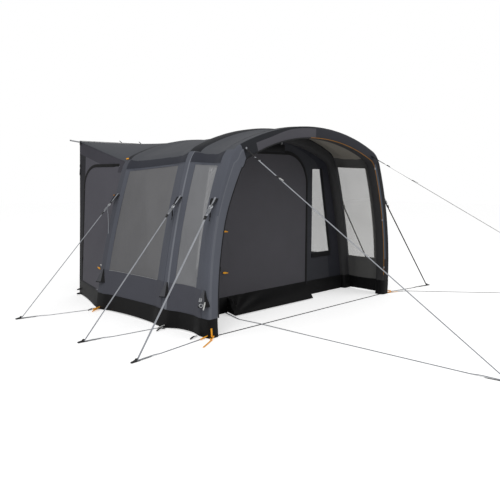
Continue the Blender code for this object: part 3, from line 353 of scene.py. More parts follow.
ZIP = webbing("zip tape and its rain flap", "#101011", ribs=3.0)
PEG_PLASTIC = moulded("moulded polypropylene, black", "#1d1d1e")
CAP = moulded("moulded nylon, black", "#161618")
GREY_PLASTIC = moulded("moulded acetal, grey", "#8a8d92", roughness=0.4)
SLIDER = moulded("die-cast slider, black lacquer", "#141415", roughness=0.35, metallic=0.3)
SILVER = moulded("cast zinc, bright", "#c8cacd", roughness=0.3, metallic=1.0, grain=500)
TPU = moulded("welded polyurethane bladder", "#b9bcbe", roughness=0.3, grain=60)
TINTED_FILM = film("tinted PVC window film", "#8c8d90", 0.70, 0.74)
PORCH_FILM = film("tinted PVC window film against the light", "#92918b", 0.38, 0.43)
DARK_FILM = film("tinted PVC window film before the closed blind", "#6d6d6f", 0.90, 0.93)
SMOKED_FILM = film("tinted PVC window film of the room", "#7a7a76", 0.32, 0.38)
CLEAR_FILM = film("clear PVC window film", "#9a9a94", 0.06, 0.10)


# ---------------------------------------------------------------- making cloth and straps

def only(*pieces):
    bpy.ops.object.select_all(action="DESELECT")
    for piece in pieces:
        piece.select_set(True)
    bpy.context.view_layer.objects.active = pieces[0]


def begun(name, add, **settings):
    """Adds a primitive with nothing else selected, and names it."""
    bpy.ops.object.select_all(action="DESELECT")
    add(**settings)
    piece = bpy.context.object
    piece.name = piece.data.name = name
    return piece


def apply_all(piece):
    only(piece)
    for step in list(piece.modifiers):
        bpy.ops.object.modifier_apply(modifier=step.name)


def rounded(angle):
    bpy.ops.object.shade_smooth_by_angle(angle=math.radians(angle))


def stands_for(piece, slot, *nodes):
    if nodes:
        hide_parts(*nodes)


def refinish(name, finish):
    """Gives a rigid CAD node its finish."""
    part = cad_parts[name]
    part.data.materials.clear()
    part.data.materials.append(finish)
    return part


def grid(name, rows):
    """A grid of cloth set on rows of points, with its UV map in metres along the cloth."""
    piece = begun(name, bpy.ops.mesh.primitive_grid_add, x_subdivisions=len(rows[0]) - 1,
                  y_subdivisions=len(rows) - 1, size=1)
    points = np.array([[tuple(p) for p in row] for row in rows])
    piece.data.vertices.foreach_set("co", points.ravel())
    across, along = [np.insert(np.linalg.norm(np.diff(points, axis=n), axis=2).cumsum(n), 0, 0.0, n)
                     for n in (1, 0)]
    middle = [points.shape[1] // 2]
    flat = np.stack([across - across[:, middle], np.broadcast_to(along[:, middle], across.shape)], 2)
    corners = np.zeros(len(piece.data.loops), int)
    piece.data.loops.foreach_get("vertex_index", corners)
    layer = piece.data.uv_layers[0]
    layer.name = "cloth"
    layer.data.foreach_set("uv", flat.reshape(-1, 2)[corners].ravel())
    piece.data.update()
    return piece


def thicken(piece, thick, lining=0):
    """Gives cloth its thickness, inwards. lining is the inner side's finish, counted from the
    outer side's."""
    step = piece.modifiers.new("cloth", "SOLIDIFY")
    step.thickness, step.offset, step.material_offset = thick, -1, lining
    apply_all(piece)


def strap(name, path, width, thick, finish, sewn={}):
    """Flat webbing along a path: level across, or along the direction that sewn gives for a point."""
    points = [Vector(p) for p in path]
    wide, rows = sewn.get(0), []
    for i, point in enumerate(points):
        ahead = points[min(i + 1, len(points) - 1)] - point
        behind = point - points[max(i - 1, 0)]
        along = (ahead.normalized() + behind.normalized()).normalized()
        level = Vector((along.y, -along.x, 0))
        if level.length > 0.1:
            level.normalize()
            wide = -level if wide and level.dot(wide) < 0 else level
        across = sewn.get(i - len(points), sewn.get(i, wide))
        across = -across if across.dot(wide) < 0 else across
        up = across.cross(along).normalized()
        rows.append([point + across * (width * w) + up * (thick / 2) for w in (-0.5, -0.5 / 3, 0.5 / 3, 0.5)])
    piece = grid(name, rows)
    thicken(piece, thick)
    piece.data.materials.append(finish)
    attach(piece, BODY)
    return piece


def short_strap(name, points, width, finish, sewn):
    """A short sewn-on length of webbing. sewn is the direction across its ends."""
    strap(name, points, width, 0.0022, finish, {0: sewn, -1: sewn})


def tape(name, points, normal, width, thick, finish, body=BODY):
    """A narrow tape sewn along points, flat on a surface. width is a number or one for each point."""
    widths = width if isinstance(width, list) else [width] * len(points)
    points, normal, rows = [Vector(p) for p in points], Vector(normal).normalized(), []
    for i, point in enumerate(points):
        along = (points[min(i + 1, len(points) - 1)] - points[max(i - 1, 0)]).normalized()
        across = normal.cross(along).normalized()
        rows.append([point + across * (widths[i] * w) + normal * (thick * (1.0 if abs(w) < 0.4 else 0.55))
                     for w in (-0.5, -0.3, 0.3, 0.5)])
    piece = grid(name, rows)
    if piece.data.polygons[0].normal.dot(normal) < 0:
        piece.data.flip_normals()
    thicken(piece, thick)
    rounded(40)
    piece.data.materials.append(finish)
    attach(piece, body)
    return piece


def cloth(name, columns, rows, put, finishes, pick=None, thick=0.0015, away=(0, 0, 0.8), facing=None,
          folds=None, weld=False, body=BODY):
    """A cloth panel: a flat grid set on its cut's shape by put(u, v), with its finishes by place,
    turned outwards and given its thickness."""
    piece = grid(name, [[put(u, v) for u in columns] for v in rows])
    mesh = piece.data
    for finish in finishes:
        mesh.materials.append(finish)
    gone = []
    for face in mesh.polygons:
        row, column = divmod(min(face.vertices), len(columns))
        kind = pick(sum(columns[column:column + 2]) / 2, sum(rows[row:row + 2]) / 2) if pick else 0
        if kind is None:
            gone.append(face.index)
        else:
            face.material_index = kind
    bpy.ops.object.mode_set(mode="EDIT")
    if gone:
        bpy.ops.mesh.select_mode(type="FACE")
        bpy.ops.mesh.select_all(action="DESELECT")
        bpy.ops.object.mode_set(mode="OBJECT")
        for index in gone:
            mesh.polygons[index].select = True
        bpy.ops.object.mode_set(mode="EDIT")
        bpy.ops.mesh.delete(type="FACE")
    bpy.ops.mesh.select_mode(type="VERT")
    bpy.ops.mesh.select_all(action="SELECT")
    if weld:
        bpy.ops.mesh.remove_doubles(threshold=0.0002)
    bpy.ops.mesh.normals_make_consistent(inside=False)
    bpy.ops.object.mode_set(mode="OBJECT")
    if sum(f.area * f.normal.dot(Vector(facing) if facing else f.center - Vector(away))
           for f in mesh.polygons) < 0:
        mesh.flip_normals()
    if folds:
        moves = [v.normal * folds(v.co) for v in mesh.vertices]
        for vertex, move in zip(mesh.vertices, moves):
            vertex.co += move
    thicken(piece, thick, len(finishes) - 1 if finishes[-1] in (LINING, WALL_LINING) else 0)
    rounded(40)
    if body:
        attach(piece, body)
    return piece


def declare(piece, held, slot, *nodes):
    """Hides the CAD nodes that a sheet stands for."""
    stands_for(piece, slot, *nodes)


def ripple(size, *stretch, held=True):
    """Slack in stretched cloth: a few millimetres of slow waves, longer along one direction than
    the others, that die out where the cloth is held along a sleeve."""
    def depth(point):
        free = min(smooth((abs(point.y - Y[name]) - HALF) / 0.10) for name in ARCH) if held else 1.0
        return free * size * noise.noise(Vector((point.x * stretch[0], point.y * stretch[1], point.z * stretch[2])))
    return depth


# ---------------------------------------------------------------- guys

WEB_WIDTH, WEB = 0.020, 0.002
PIN_RADIUS, PIN_LENGTH, THROAT = 0.0035, 0.165, 0.018
TOP = 1.36                       # the side guys' height on the legs
SIDE_PEG_X, SIDE_PEG_Y = 2.49, {"front": FACE - 0.085, "middle": FACE + 0.775, "rear": FACE + 2.11}


def guy_path(start, peg, ground, foot, tail=0.0):
    """Down to the peg, round the hook's throat, and back along the ground."""
    start, peg = Vector(start), Vector((*peg, 0.0))
    route = [Vector((x, y, WEB / 2 + GAP + lift)) for x, y, lift in ground] + [Vector(foot)]
    out = Vector((peg.x - start.x, peg.y - start.y, 0)).normalized()
    back = Vector((route[0].x - peg.x, route[0].y - peg.y, 0)).normalized()
    under = 2 * PIN_RADIUS + 3 * GAP + WEB / 2
    hand = peg + out * 0.004 + UP * (under + 0.011)
    path = [start + UP * tail] * (tail > 0) + [start + (hand - start) * k / 6 for k in range(7)]
    path += [peg + out * (THROAT - 0.004) + UP * (under + 0.0075),
             peg + out * (THROAT - 0.004) + UP * (under + 0.0025),
             peg + out * 0.006 + UP * under, peg + back * (PIN_LENGTH + 0.03) + UP * under,
             peg + back * (PIN_LENGTH + 0.12) + UP * (WEB / 2 + GAP)]
    return path + route


GUYS = {}
for side, hand in SIDES:
    for name in ARCH:
        point, _, out = crest(name, TOP, side)
        foot = (side * (leg_x(name, 0.0, 0.002) + 2 * (GAP + FABRIC)), Y[name], WEB / 2 + 4 * GAP)
        peg = (side * SIDE_PEG_X, SIDE_PEG_Y[name])
        GUYS[hand + "_" + name] = (point + out * (GAP + WEB), peg, [(*mix(peg, foot[:2], 0.6), 0.0)], foot, {}, 0.0)
front_arc = ARCH["front"]["centre"]["roof"][1], ARCH["front"]["roof"] - 0.074
starts = {x: (x, FACE - GAP - WEB / 2, front_arc[0] + math.sqrt(front_arc[1] ** 2 - x ** 2)) for x in (-1.10, 1.13)}
spacer_y = FACE + HEEL + WEB_WIDTH / 2
GUYS["front_left"] = (starts[-1.10], (-0.825, FACE - 2.517),
                      [(-0.828, FACE - 0.60, 0.0), (-0.828, spacer_y - 0.04, 0.0028),
                       (-0.828, spacer_y + 0.04, 0.0028), (-0.84, FACE + 0.37, 0.0)],
                      (-0.755, Y["middle"] - 0.0015 - 3 * GAP - FABRIC, 0.012),
                      {0: ACROSS, 1: ACROSS, -1: ACROSS}, 0.024)
GUYS["front_right"] = (starts[1.13], (3.507, FACE - 2.10),
                       [(2.435, FACE - 0.735, 0.0), (1.89, FACE - 0.045, 0.0)],
                       (leg_x("front", 0.0, 0.002) + 3 * (GAP + FABRIC), FACE + 0.020, WEB),
                       {0: ACROSS, 1: ACROSS, -1: ALONG}, 0.024)
for name, (start, peg, ground, foot, sewn, tail) in GUYS.items():
    path = guy_path(start, peg, ground, foot, tail)
    guy = strap("guy_webbing_" + name, path, WEB_WIDTH, WEB, BLACK_WEB if "right" in name else GUY_WEB, sewn)
    stands_for(guy, "webbing", "guy_" + name)
    long = sum((Vector(b) - Vector(a)).length for a, b in zip(path, path[1:]))
    tuple(path[0])
    [tuple(p) for p in path]
    refinish("peg_" + name, PEG_PLASTIC)


# ---------------------------------------------------------------- the beam sleeves

# Width of the strip on the middle legs' front corner that is painted pale as a highlight
HIGHLIGHT_WIDTH = 0.037


def arc_points(centre_inset, centre_along, radius, first, last, count):
    """Points of a rounded corner of the sleeve's section; angles in degrees from the crest's."""
    turns = [math.radians(a) for a in steps(first, last, count)]
    return [(centre_inset - radius * math.cos(a), centre_along + radius * math.sin(a)) for a in turns]


def flat_points(a, b, count, puff):
    """Points between two corners of the section. puff is how far air swells the cloth there."""
    length = math.dist(a, b)
    out = ((b[1] - a[1]) / length, -(b[0] - a[0]) / length)
    swell = [puff * math.sin(math.pi * k / count) for k in range(count + 1)]
    return [(p[0] - out[0] * rise, p[1] - out[1] * rise) for p, rise in zip(line(a, b, count), swell)][1:-1]


def face_depth(name, s):
    """How deep the sleeve is. The porch's brow is gathered into its left shoulder, where the face
    is half as deep again, and a little shallower to the right."""
    if name != "front":
        return SLEEVE
    gather = math.exp(-((s - 5.6) / 0.75) ** 2) if s < 5.6 else smooth((6.42 - s) / 0.6)
    return SLEEVE - 0.004 * smooth(1.3 - abs(s - 3.6)) + 0.070 * gather


def strip_edge(name, s):
    """How far down the front face the strip under the crest reaches."""
    if name != "front":
        return 0.05
    if s < 4.8:
        return 0.020 + 0.036 * smooth((s - 4.3) / 0.4)
    if s < 5.6:
        return 0.056 + 0.026 * smooth((s - 5.1) / 0.5)
    return 0.020 + 0.062 * smooth((6.42 - s) / 0.75)


def section(name, s):
    """The sleeve's cross-section at a station, as (inset, along) once round from the crest: rear
    side, inner side, front side."""
    deep, edge, flat = face_depth(name, s), strip_edge(name, s), HALF - ROUND
    foot = smooth((1.04 - min(s, 8 - s)) / 0.06)
    brow = HEEL + (0.014 - HEEL) * (1 - foot) if name == "front" else HEEL
    puff = 0.003 * (1 - foot)
    heel, low, front_low = HALF - HEEL, deep - HEEL, deep - brow
    # Where the strip that is painted as a highlight begins
    highlight_start = -0.045 - 0.018 * smooth((2.3 - abs(s - 4)) / 0.6)
    points = [(-0.001, 0.0), (-0.001, flat * 0.4), (0.0, flat * 0.8)]
    points += arc_points(ROUND, flat, ROUND, 0, 90, 3)
    points += flat_points((ROUND, HALF), (low, HALF), 4, puff)
    points += arc_points(low, heel, HEEL, 90, 180, 4)
    points += flat_points((deep, heel), (deep, brow - HALF), 4, puff)
    points += arc_points(front_low, brow - HALF, brow, 180, 270, 4)
    points += [(front_low - (front_low - edge - 0.014) * k / 3, -HALF - puff * math.sin(math.pi * k / 4))
               for k in (1, 2, 3)]
    points += [(edge, -HALF - puff * 0.7)]
    points += arc_points(ROUND, -flat, ROUND, 270, 360, 3)
    return points + [(-0.0005, max(highlight_start, -flat + 0.001)), (-0.001, highlight_start + HIGHLIGHT_WIDTH), (-0.001, 0.0)]


# Strips of the section, counted round it: the front face, its edge, the strip over it, the crest
COLUMNS = len(section("front", 4.0)) - 1
FRONT_FACE, FACE_EDGE = range(COLUMNS - 12, COLUMNS - 8), COLUMNS - 8
STRIP, CREST_FRONT = range(COLUMNS - 7, COLUMNS - 3), range(COLUMNS - 3, COLUMNS)
SLEEVE_CLOTHS = [LEG_CLOTH, CROWN_CLOTH, MIDDLE_LEG_HIGHLIGHT, BROW_CLOTH, NAVY_CLOTH, ROOF_CLOTH, SLATE_CLOTH,
                 RIGHT_LEG_SHADE, BAND, FRONT_LEG_HIGHLIGHT, REAR_CLOTH, MUD, SLEEVE_LINING]


def sleeve_cloth(name, column, s):
    """Which finish a strip of the sleeve takes: its cloths, a painted highlight and a painted shade."""
    roof = 2.55 < s < 5.45
    if min(s, 8 - s) < 1:
        return MUD
    if name == "front":
        if column in FRONT_FACE or column == FACE_EDGE:
            if s > 4.99:
                # On the left leg the face's edge is painted paler as a highlight
                return FRONT_LEG_HIGHLIGHT if column == FACE_EDGE else LEG_CLOTH
            if s > 2.3:
                return CROWN_CLOTH if s > 4.83 else BROW_CLOTH if s > 3.98 else NAVY_CLOTH
            # The right leg's face is painted dark as its shade, with a slate-blue strip by its inner edge
            return SLATE_CLOTH if column <= FRONT_FACE[1] and s > 1.2 else RIGHT_LEG_SHADE
        if column in STRIP:
            if s > 6.35:
                # Low on the left leg, the strip's front part is painted paler as a highlight
                return FRONT_LEG_HIGHLIGHT if column <= STRIP[1] else LEG_CLOTH
            # Below 2.3, on the right leg, the strip takes the painted shade too
            return BAND if s > 5.05 else CROWN_CLOTH if s > 4.0 else NAVY_CLOTH if s > 2.3 else RIGHT_LEG_SHADE
        if column in CREST_FRONT or column < 6:
            return ROOF_CLOTH if roof else BAND
        return SLEEVE_LINING
    if column in CREST_FRONT or column < 6 or column in STRIP[1:]:
        if roof:
            return CROWN_CLOTH
        # The middle legs' pale strip on the front corner is a painted highlight
        if name == "middle" and column == CREST_FRONT[1]:
            return MIDDLE_LEG_HIGHLIGHT
        return REAR_CLOTH if name == "rear" else BAND if column in STRIP else LEG_CLOTH
    return SLEEVE_LINING


def sleeve_point(name, column, s):
    """A point of the zipped sleeve, tight over its beam, with fine gathers at the shoulders."""
    inset, along = section(name, s)[round(column)]
    calm = 0.5 - 0.5 * math.cos(min(abs(s - 2.5), abs(s - 5.5), 0.5) * math.tau)
    if inset > 0.08:
        inset += 0.0015 * (1 - calm) * math.sin(s * 150)
    x, z = station(name, inset, s)
    return (x, Y[name] + along, max(z, 0.001))


for name in ARCH:
    piece = cloth("sleeve_cloth_" + name, list(range(COLUMNS + 1)),
                  chain((0, 1, 6), (1, 2, 26), (2, 3, 18), (3, 4, 24), (4, 5, 24), (5, 6, 18), (6, 7, 26), (7, 8, 6)),
                  lambda u, v: sleeve_point(name, u, v), SLEEVE_CLOTHS,
                  lambda u, v: SLEEVE_CLOTHS.index(sleeve_cloth(name, int(u), v)), thick=0.0012, weld=True,
                  away=(0, Y[name], 1.2), folds=ripple(0.0008, 9, 9, 9, held=False))
    declare(piece, "stretched", "outer_fabric", "beam_sleeve_" + name)


# ---------------------------------------------------------------- side walls, windows and roofs

# Each bay's sleeves, its window's front and rear edge, and how far the front edge leans back
BAYS = {
    "porch": ("front", "middle", Y["front"] + HALF + 0.035, Y["middle"] - HALF - 0.065, 0.06),
    "room": ("middle", "rear", Y["middle"] + HALF + 0.135, Y["rear"] - HALF - 0.055, 0.0),
}
RIGHT_WINDOW = (Y["front"] + 0.150, Y["middle"] - HALF - 0.006, 0.0)
SILL = 0.47
HEADS = {"porch": (1.66, 1.69), "room": (1.69, 1.62)}
FILMS = {("porch", "left"): TINTED_FILM, ("porch", "right"): PORCH_FILM,
         ("room", "left"): DARK_FILM, ("room", "right"): SMOKED_FILM}


def bay_point(bay, u, v, side, lift=0.0):
    """A point of a side wall. u: 0 at the front sleeve, 1 and 2 at the window's edges, 3 at the
    next sleeve. v: 0 at the foot, 1 at the sill, 2 at the window's head, 3 at the eave."""
    first, last, front, rear, lean = BAYS[bay]
    if bay == "porch" and side > 0:
        front, rear, lean = RIGHT_WINDOW
    start, end = Y[first] + HALF - LAP, Y[last] - HALF + LAP
    front += lean * (1 - min(max(v - 1, 0), 1))
    stops = (start, front, rear, end)
    k = 0 if u < 1 else 1 if u < 2 else 2
    y = stops[k] + (u - k) * (stops[k + 1] - stops[k])
    share = (y - Y[first]) / (Y[last] - Y[first])
    head = HEADS[bay][0] + (HEADS[bay][1] - HEADS[bay][0]) * share
    foot = SKIRT_TOP - 0.012
    z = foot + v * (SILL - foot) if v < 1 else SILL + (v - 1) * (head - SILL)
    inset = panel_inset(y, start, end) - lift
    ends = []
    for name in (first, last):
        arch = ARCH[name]
        top = on_arc(name, "shoulder", inset, arch["lean"] + EAVE * (arch["turn"] - arch["lean"]))[1]
        height = z if v <= 2 else head + (v - 2) * (top - head)
        ends.append((outline_x(name, inset, height), height))
    x, z = mix(*ends, share)
    return (side * x, y, z)


def roof_point(first, last, u, s):
    """A point of a roof: u from sleeve to sleeve, s along the arches."""
    start, end = Y[first] + HALF - LAP, Y[last] - HALF + LAP
    y = start + u * (end - start)
    inset = panel_inset(y, start, end)
    x, z = mix(station(first, inset, s), station(last, inset, s), (y - Y[first]) / (Y[last] - Y[first]))
    return (x, y, z)


for side, hand in SIDES:
    for bay in BAYS:
        wall = cloth(f"side_wall_{bay}_{hand}", chain((0, 1, 7), (1, 2, 16), (2, 3, 7)),
                     chain((0, 1, 10), (1, 2, 34), (2, 3, 6)), lambda u, v: bay_point(bay, u, v, side),
                     [WALL, BAND, EAVE_BAND, WALL_LINING],
                     lambda u, v: None if 1 < u < 2 and 1 < v < 2 else 2 if v > 2.2 else 0 if v < 1 else 1,
                     folds=ripple(0.004, 1, 5, 1.5))
        declare(wall, "stretched", "outer_fabric", f"wall_{bay}_{hand}")
        pane = cloth(f"window_film_{bay}_{hand}", steps(0.9 if bay == "porch" else 0.93, 2.2, 22),
                     steps(0.96, 2.04, 40), lambda u, v: bay_point(bay, u, v, side, -0.0022),
                     [FILMS[bay, hand]], thick=0.0006, folds=ripple(0.003, 1, 6, 2.2))
        declare(pane, "stretched", "window_film", f"window_{bay}_{hand}")

for bay, (first, last, *_) in BAYS.items():
    roof = cloth("roof_cloth_" + bay, steps(0, 1, 26), chain((2.47, 3, 8), (3, 4, 26), (4, 5, 26), (5, 5.53, 8)),
                 lambda u, v: roof_point(first, last, u, v), [ROOF_CLOTH, CROWN_CLOTH, LINING],
                 lambda u, v: 1 if bay == "porch" and u > 0.85 and 2.55 < v < 5.45 else 0,
                 folds=ripple(0.004, 1.2, 4, 1.2))
    declare(roof, "stretched", "roof_fabric", "roof_" + bay)


# ---------------------------------------------------------------- the tunnel

TUNNEL_TOP, TOP_HALF, FOOT_HALF, HINGE = 2.023, 1.246, 1.323, 0.15
REAR_START, HINGE_Y = Y["rear"] + HALF + GAP, Y["rear"] + HINGE
DOOR_FAR, DOOR_SILL, DOOR_HEAD, DOOR_ROUND = Y["edge"] - 0.137, 0.20, 1.69, 0.25
TUNNEL_S = [(SKIRT_TOP - 0.012) / SKIRT_TOP] + chain((1, 2, 40), (2, 2.5, 8))


def edge_point(z):
    """The tunnel's free edge, beside a height on the rear arch."""
    eave = station("rear", PANEL_INSET, 2.5)[1]
    height = z + max(z - SKIRT_TOP, 0.0) * ((TUNNEL_TOP - 0.0054 - SKIRT_TOP) / (eave - SKIRT_TOP) - 1)
    return (FOOT_HALF + (TOP_HALF - FOOT_HALF) * height / TUNNEL_TOP, height)


def hinge_x(z):
    foot, top = station("rear", PANEL_INSET, 0.0), station("rear", PANEL_INSET, 2.0)
    u = (HINGE - HALF) / (Y["edge"] - Y["rear"] - HALF)
    start, end = mix(foot, edge_point(foot[1]), u), mix(top, (edge_point(top[1])[0], top[1]), u)
    return start[0] + 0.012 + (end[0] - start[0]) * (z - start[1]) / (end[1] - start[1])


def tunnel_point(y, s, side=1, lift=0.0):
    """A point of the tunnel's side: it twists from the rear leg to the upright edge. s as in
    station, up to 2.5."""
    on_leg = station("rear", PANEL_INSET, s)
    edge = edge_point(on_leg[1])
    u = (HINGE_Y - REAR_START) / (Y["edge"] - REAR_START)
    on_hinge = mix(on_leg, edge, u) if s > 2 else (hinge_x(on_leg[1]), on_leg[1])
    if y <= HINGE_Y:
        x, z = mix(on_leg, on_hinge, (y - REAR_START) / (HINGE_Y - REAR_START))
    else:
        x, z = mix(on_hinge, edge, (y - HINGE_Y) / (Y["edge"] - HINGE_Y))
    return (side * (x + lift), y, z)


def tunnel_at(y, z, side=1, lift=0.0):
    """The tunnel's side at a height."""
    low, high = 0.0, 2.5
    for _ in range(30):
        s = (low + high) / 2
        if tunnel_point(y, s)[2] < z:
            low = s
        else:
            high = s
    return (tunnel_point(y, low, side, lift)[0], y, z)


def d_outline(near, far, bottom, top, near_corner, far_corner, grow=0.0, near_grow=None, arc_steps=14):
    """A door's outline with rounded upper corners, from its hinge side over the head to its far
    side."""
    near_grow = grow if near_grow is None else near_grow
    side = 1 if far > near else -1
    n, f, b, t = near - side * near_grow, far + side * grow, bottom - grow, top + grow
    turn = steps(0, math.pi / 2, arc_steps)
    r = near_corner + grow if near_corner else 0.0
    made = [(n, b)] + ([(n + side * (r - r * math.cos(a)), t - r + r * math.sin(a)) for a in turn] if r else [(n, t)])
    r = far_corner + grow
    return made + [(f - side * (r - r * math.sin(a)), t - r + r * math.cos(a)) for a in turn] + [(f, b)]


def cut(piece, outline, axis, middle, reach, keep=False):
    """Cuts a panel with a plain block, or keeps what lies in it. Along X the block's outline is
    (y, z), along Y it is (x, z)."""
    mesh = bpy.data.meshes.new("cutter")
    n = len(outline)
    ends = [(w, u, v) if axis == "X" else (u, w, v) for w in (middle - reach, middle + reach) for u, v in outline]
    mesh.from_pydata(ends, [], [tuple(range(n)), tuple(range(n, 2 * n))] +
                     [(i, (i + 1) % n, n + (i + 1) % n, n + i) for i in range(n)])
    block = bpy.data.objects.new("cutter", mesh)
    bpy.context.collection.objects.link(block)
    only(block)
    bpy.ops.object.mode_set(mode="EDIT")
    bpy.ops.mesh.select_all(action="SELECT")
    bpy.ops.mesh.normals_make_consistent(inside=False)
    bpy.ops.object.mode_set(mode="OBJECT")
    step = piece.modifiers.new("cut", "BOOLEAN")
    step.operation = "INTERSECT" if keep else "DIFFERENCE"
    step.solver, step.object = "EXACT", block
    apply_all(piece)
    bpy.data.objects.remove(block, do_unlink=True)
    rounded(40)


def narrowing(widest, least, first, count):
    """The widths of a zip's rain flap: it narrows over 20 points from the first one on."""
    return [widest - (widest - least) * min(1, max(0, (k - first) / 20)) for k in range(count)]


for side, hand in SIDES:
    def put(u, v):
        return tunnel_point(u, v, side)
    slack, through = ripple(0.003, 1, 3, 1.5), (side * 1.5, 0.7)
    opening = (HINGE_Y, DOOR_FAR, DOOR_SILL, DOOR_HEAD, 0.0, DOOR_ROUND)
    wall = cloth("side_wall_tunnel_" + hand, chain((REAR_START, HINGE_Y, 4), (HINGE_Y, Y["edge"], 30)), TUNNEL_S,
                 put, [TUNNEL_WALL, EDGE_WALL, GUSSET],
                 lambda u, v: 2 if v > 1.965 else 1 if u > DOOR_FAR else 0, folds=slack)
    cut(wall, d_outline(*opening, grow=0.001, near_grow=GAP), "X", *through)
    declare(wall, "stretched", "outer_fabric", "wall_tunnel_" + hand)
    door = cloth("tunnel_door_cloth_" + hand, steps(HINGE_Y, Y["edge"] - 0.1, 30), TUNNEL_S, put, [TUNNEL_WALL],
                 folds=slack, body=None)
    cut(door, d_outline(*opening, grow=-0.002, near_grow=0.0), "X", *through, keep=True)
    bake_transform(door)
    declare(door, "stretched", "outer_fabric", "tunnel_door_" + hand)
    zip_way = d_outline(HINGE_Y + 0.004, *opening[1:], grow=0.008, near_grow=0.0)[1:]
    zip_way = line(*zip_way[:2], 8)[:-1] + zip_way[1:-1] + line(*zip_way[-2:], 16)
    flap = tape("tunnel_zip_flap_" + hand, [tunnel_at(y, max(z, DOOR_SILL), side, 0.0008) for y, z in zip_way],
                (side, 0, 0.12), narrowing(0.038, 0.026, 8, len(zip_way)), 0.003, ZIP)
    stands_for(flap, "zip_tape", "tunnel_zip_" + hand)


def tunnel_roof_point(u, s, lift=0.0):
    """The tunnel's roof: from the rear arch's curve (u 0) to the straight edge at the vehicle
    (u 1)."""
    half = s if s <= 4 else 8 - s
    arch = ARCH["rear"]
    span = (arch["shoulder"] - PANEL_INSET) * 0.5 * (arch["lean"] - arch["turn"])
    whole = span + (arch["roof"] - PANEL_INSET) * arch["turn"]
    far = (half - 2.5) * 2 * span if half < 3 else span + (half - 3) * (whole - span)
    x, z = mix(station("rear", PANEL_INSET - lift, half), (TOP_HALF * (1 - far / whole), TUNNEL_TOP + lift), u)
    return (x if s <= 4 else -x, REAR_START + u * (Y["edge"] - REAR_START), z)


roof = cloth("roof_cloth_tunnel", steps(0, 1, 30), chain((2.5, 3, 6), (3, 4, 24), (4, 5, 24), (5, 5.5, 6)),
             tunnel_roof_point, [ROOF_CLOTH, LINING], folds=ripple(0.003, 1.2, 2, 1.2))
declare(roof, "stretched", "roof_fabric", "roof_tunnel")


# ---------------------------------------------------------------- inner walls

DOOR_HALF, DOOR_TOP, DOOR_CORNER = 0.70, 1.84, 0.39
FRONT_Y = Y["middle"] - FABRIC / 2
PANEL = {"facing": FORWARD, "thick": 0.0022}


def inner_wall(name, arch, finishes, pick=None):
    """An upright wall inside an arch: u from -1 to 1 across, v up the arch's inner side."""
    def put(u, v):
        x, z = station(arch, SLEEVE + GAP, v)
        return (u * x, Y[arch] - FABRIC / 2, max(z, 0.012))
    return cloth(name, steps(-1, 1, 44), chain((0, 1, 4), (1, 2, 30), (2, 3, 8), (3, 4, 12)), put, finishes, pick,
                 folds=ripple(0.004, 2.2, 1, 1.2, held=False), weld=True, **PANEL)


def front_window(side, grow):
    inner, sill, head = 0.825 - grow, 0.56 - grow, 1.66 + grow
    return [(side * inner, sill), (side * (1.19 + grow), sill), (side * (0.97 + grow), head), (side * inner, head)]


def front_door_outline(*grow):
    return d_outline(-DOOR_HALF, DOOR_HALF, -0.1, DOOR_TOP, DOOR_CORNER, DOOR_CORNER, *grow)


# Left of the door the wall takes the plain inner cloth; right of it the same cloth is painted darker as shade, and
# darker still beside the right sleeve
front = inner_wall("front_wall_cloth", "middle", [FRONT_WALL_SHADE, SLEEVE_CORNER_SHADE, INNER],
                   lambda u, v: 2 if u < 0 else 1 if u > 0.80 else 0)
for outline in (front_door_outline(GAP), front_window(-1, GAP), front_window(1, GAP)):
    cut(front, outline, "Y", Y["middle"], 0.05)
declare(front, "stretched", "inner_fabric", "front_wall")
for side, hand in SIDES:
    pane = cloth("window_film_front_" + hand, steps(0, 1, 8), steps(0, 1, 24),
                 lambda u, v: (side * (0.817 + u * (0.381 - v * 0.22)), Y["middle"] + 0.002, 0.55 + v * 1.12),
                 [CLEAR_FILM], facing=FORWARD, thick=0.0006, folds=ripple(0.002, 6, 1, 2, held=False))
    declare(pane, "stretched", "window_film", "window_front_" + hand)

door = cloth("front_door_cloth", steps(-DOOR_HALF - 0.05, DOOR_HALF + 0.05, 40),
             steps(SKIRT_TOP - 0.002, DOOR_TOP + 0.05, 44), lambda u, v: (u, FRONT_Y, v), [INNER],
             folds=ripple(0.004, 2.2, 1, 1.0, held=False), body=None, **PANEL)
cut(door, front_door_outline(-0.001, 0.0), "Y", Y["middle"], 0.05, keep=True)
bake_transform(door)
declare(door, "stretched", "inner_fabric", "front_door")


def flap_point(u, v):
    """The door's mud flap, splayed forward and skewed to its hinge: u across, v from the door down
    to the ground, with folds that fan out from its lower hinge corner. Below u 0 its side runs back
    to the wall."""
    across, z = max(u, 0.0), SKIRT_TOP + 0.002 - v * (SKIRT_TOP - 0.012)
    x = -DOOR_HALF + 0.003 + across * (2 * DOOR_HALF - 0.006) - v * 0.095
    fan = math.atan2(z - 0.02, x + DOOR_HALF + 0.10)
    fold = 0.010 * math.sin(24 * fan) * math.sin(math.pi * min(v + 0.05, 1)) * math.exp(-1.1 * across)
    point = (x, FRONT_Y - 0.001 - v * 0.215 - fold, z + fold * 0.6)
    return mix(point, (-DOOR_HALF - 0.018, FRONT_Y - 0.006, z), -10 * min(u, 0.0))


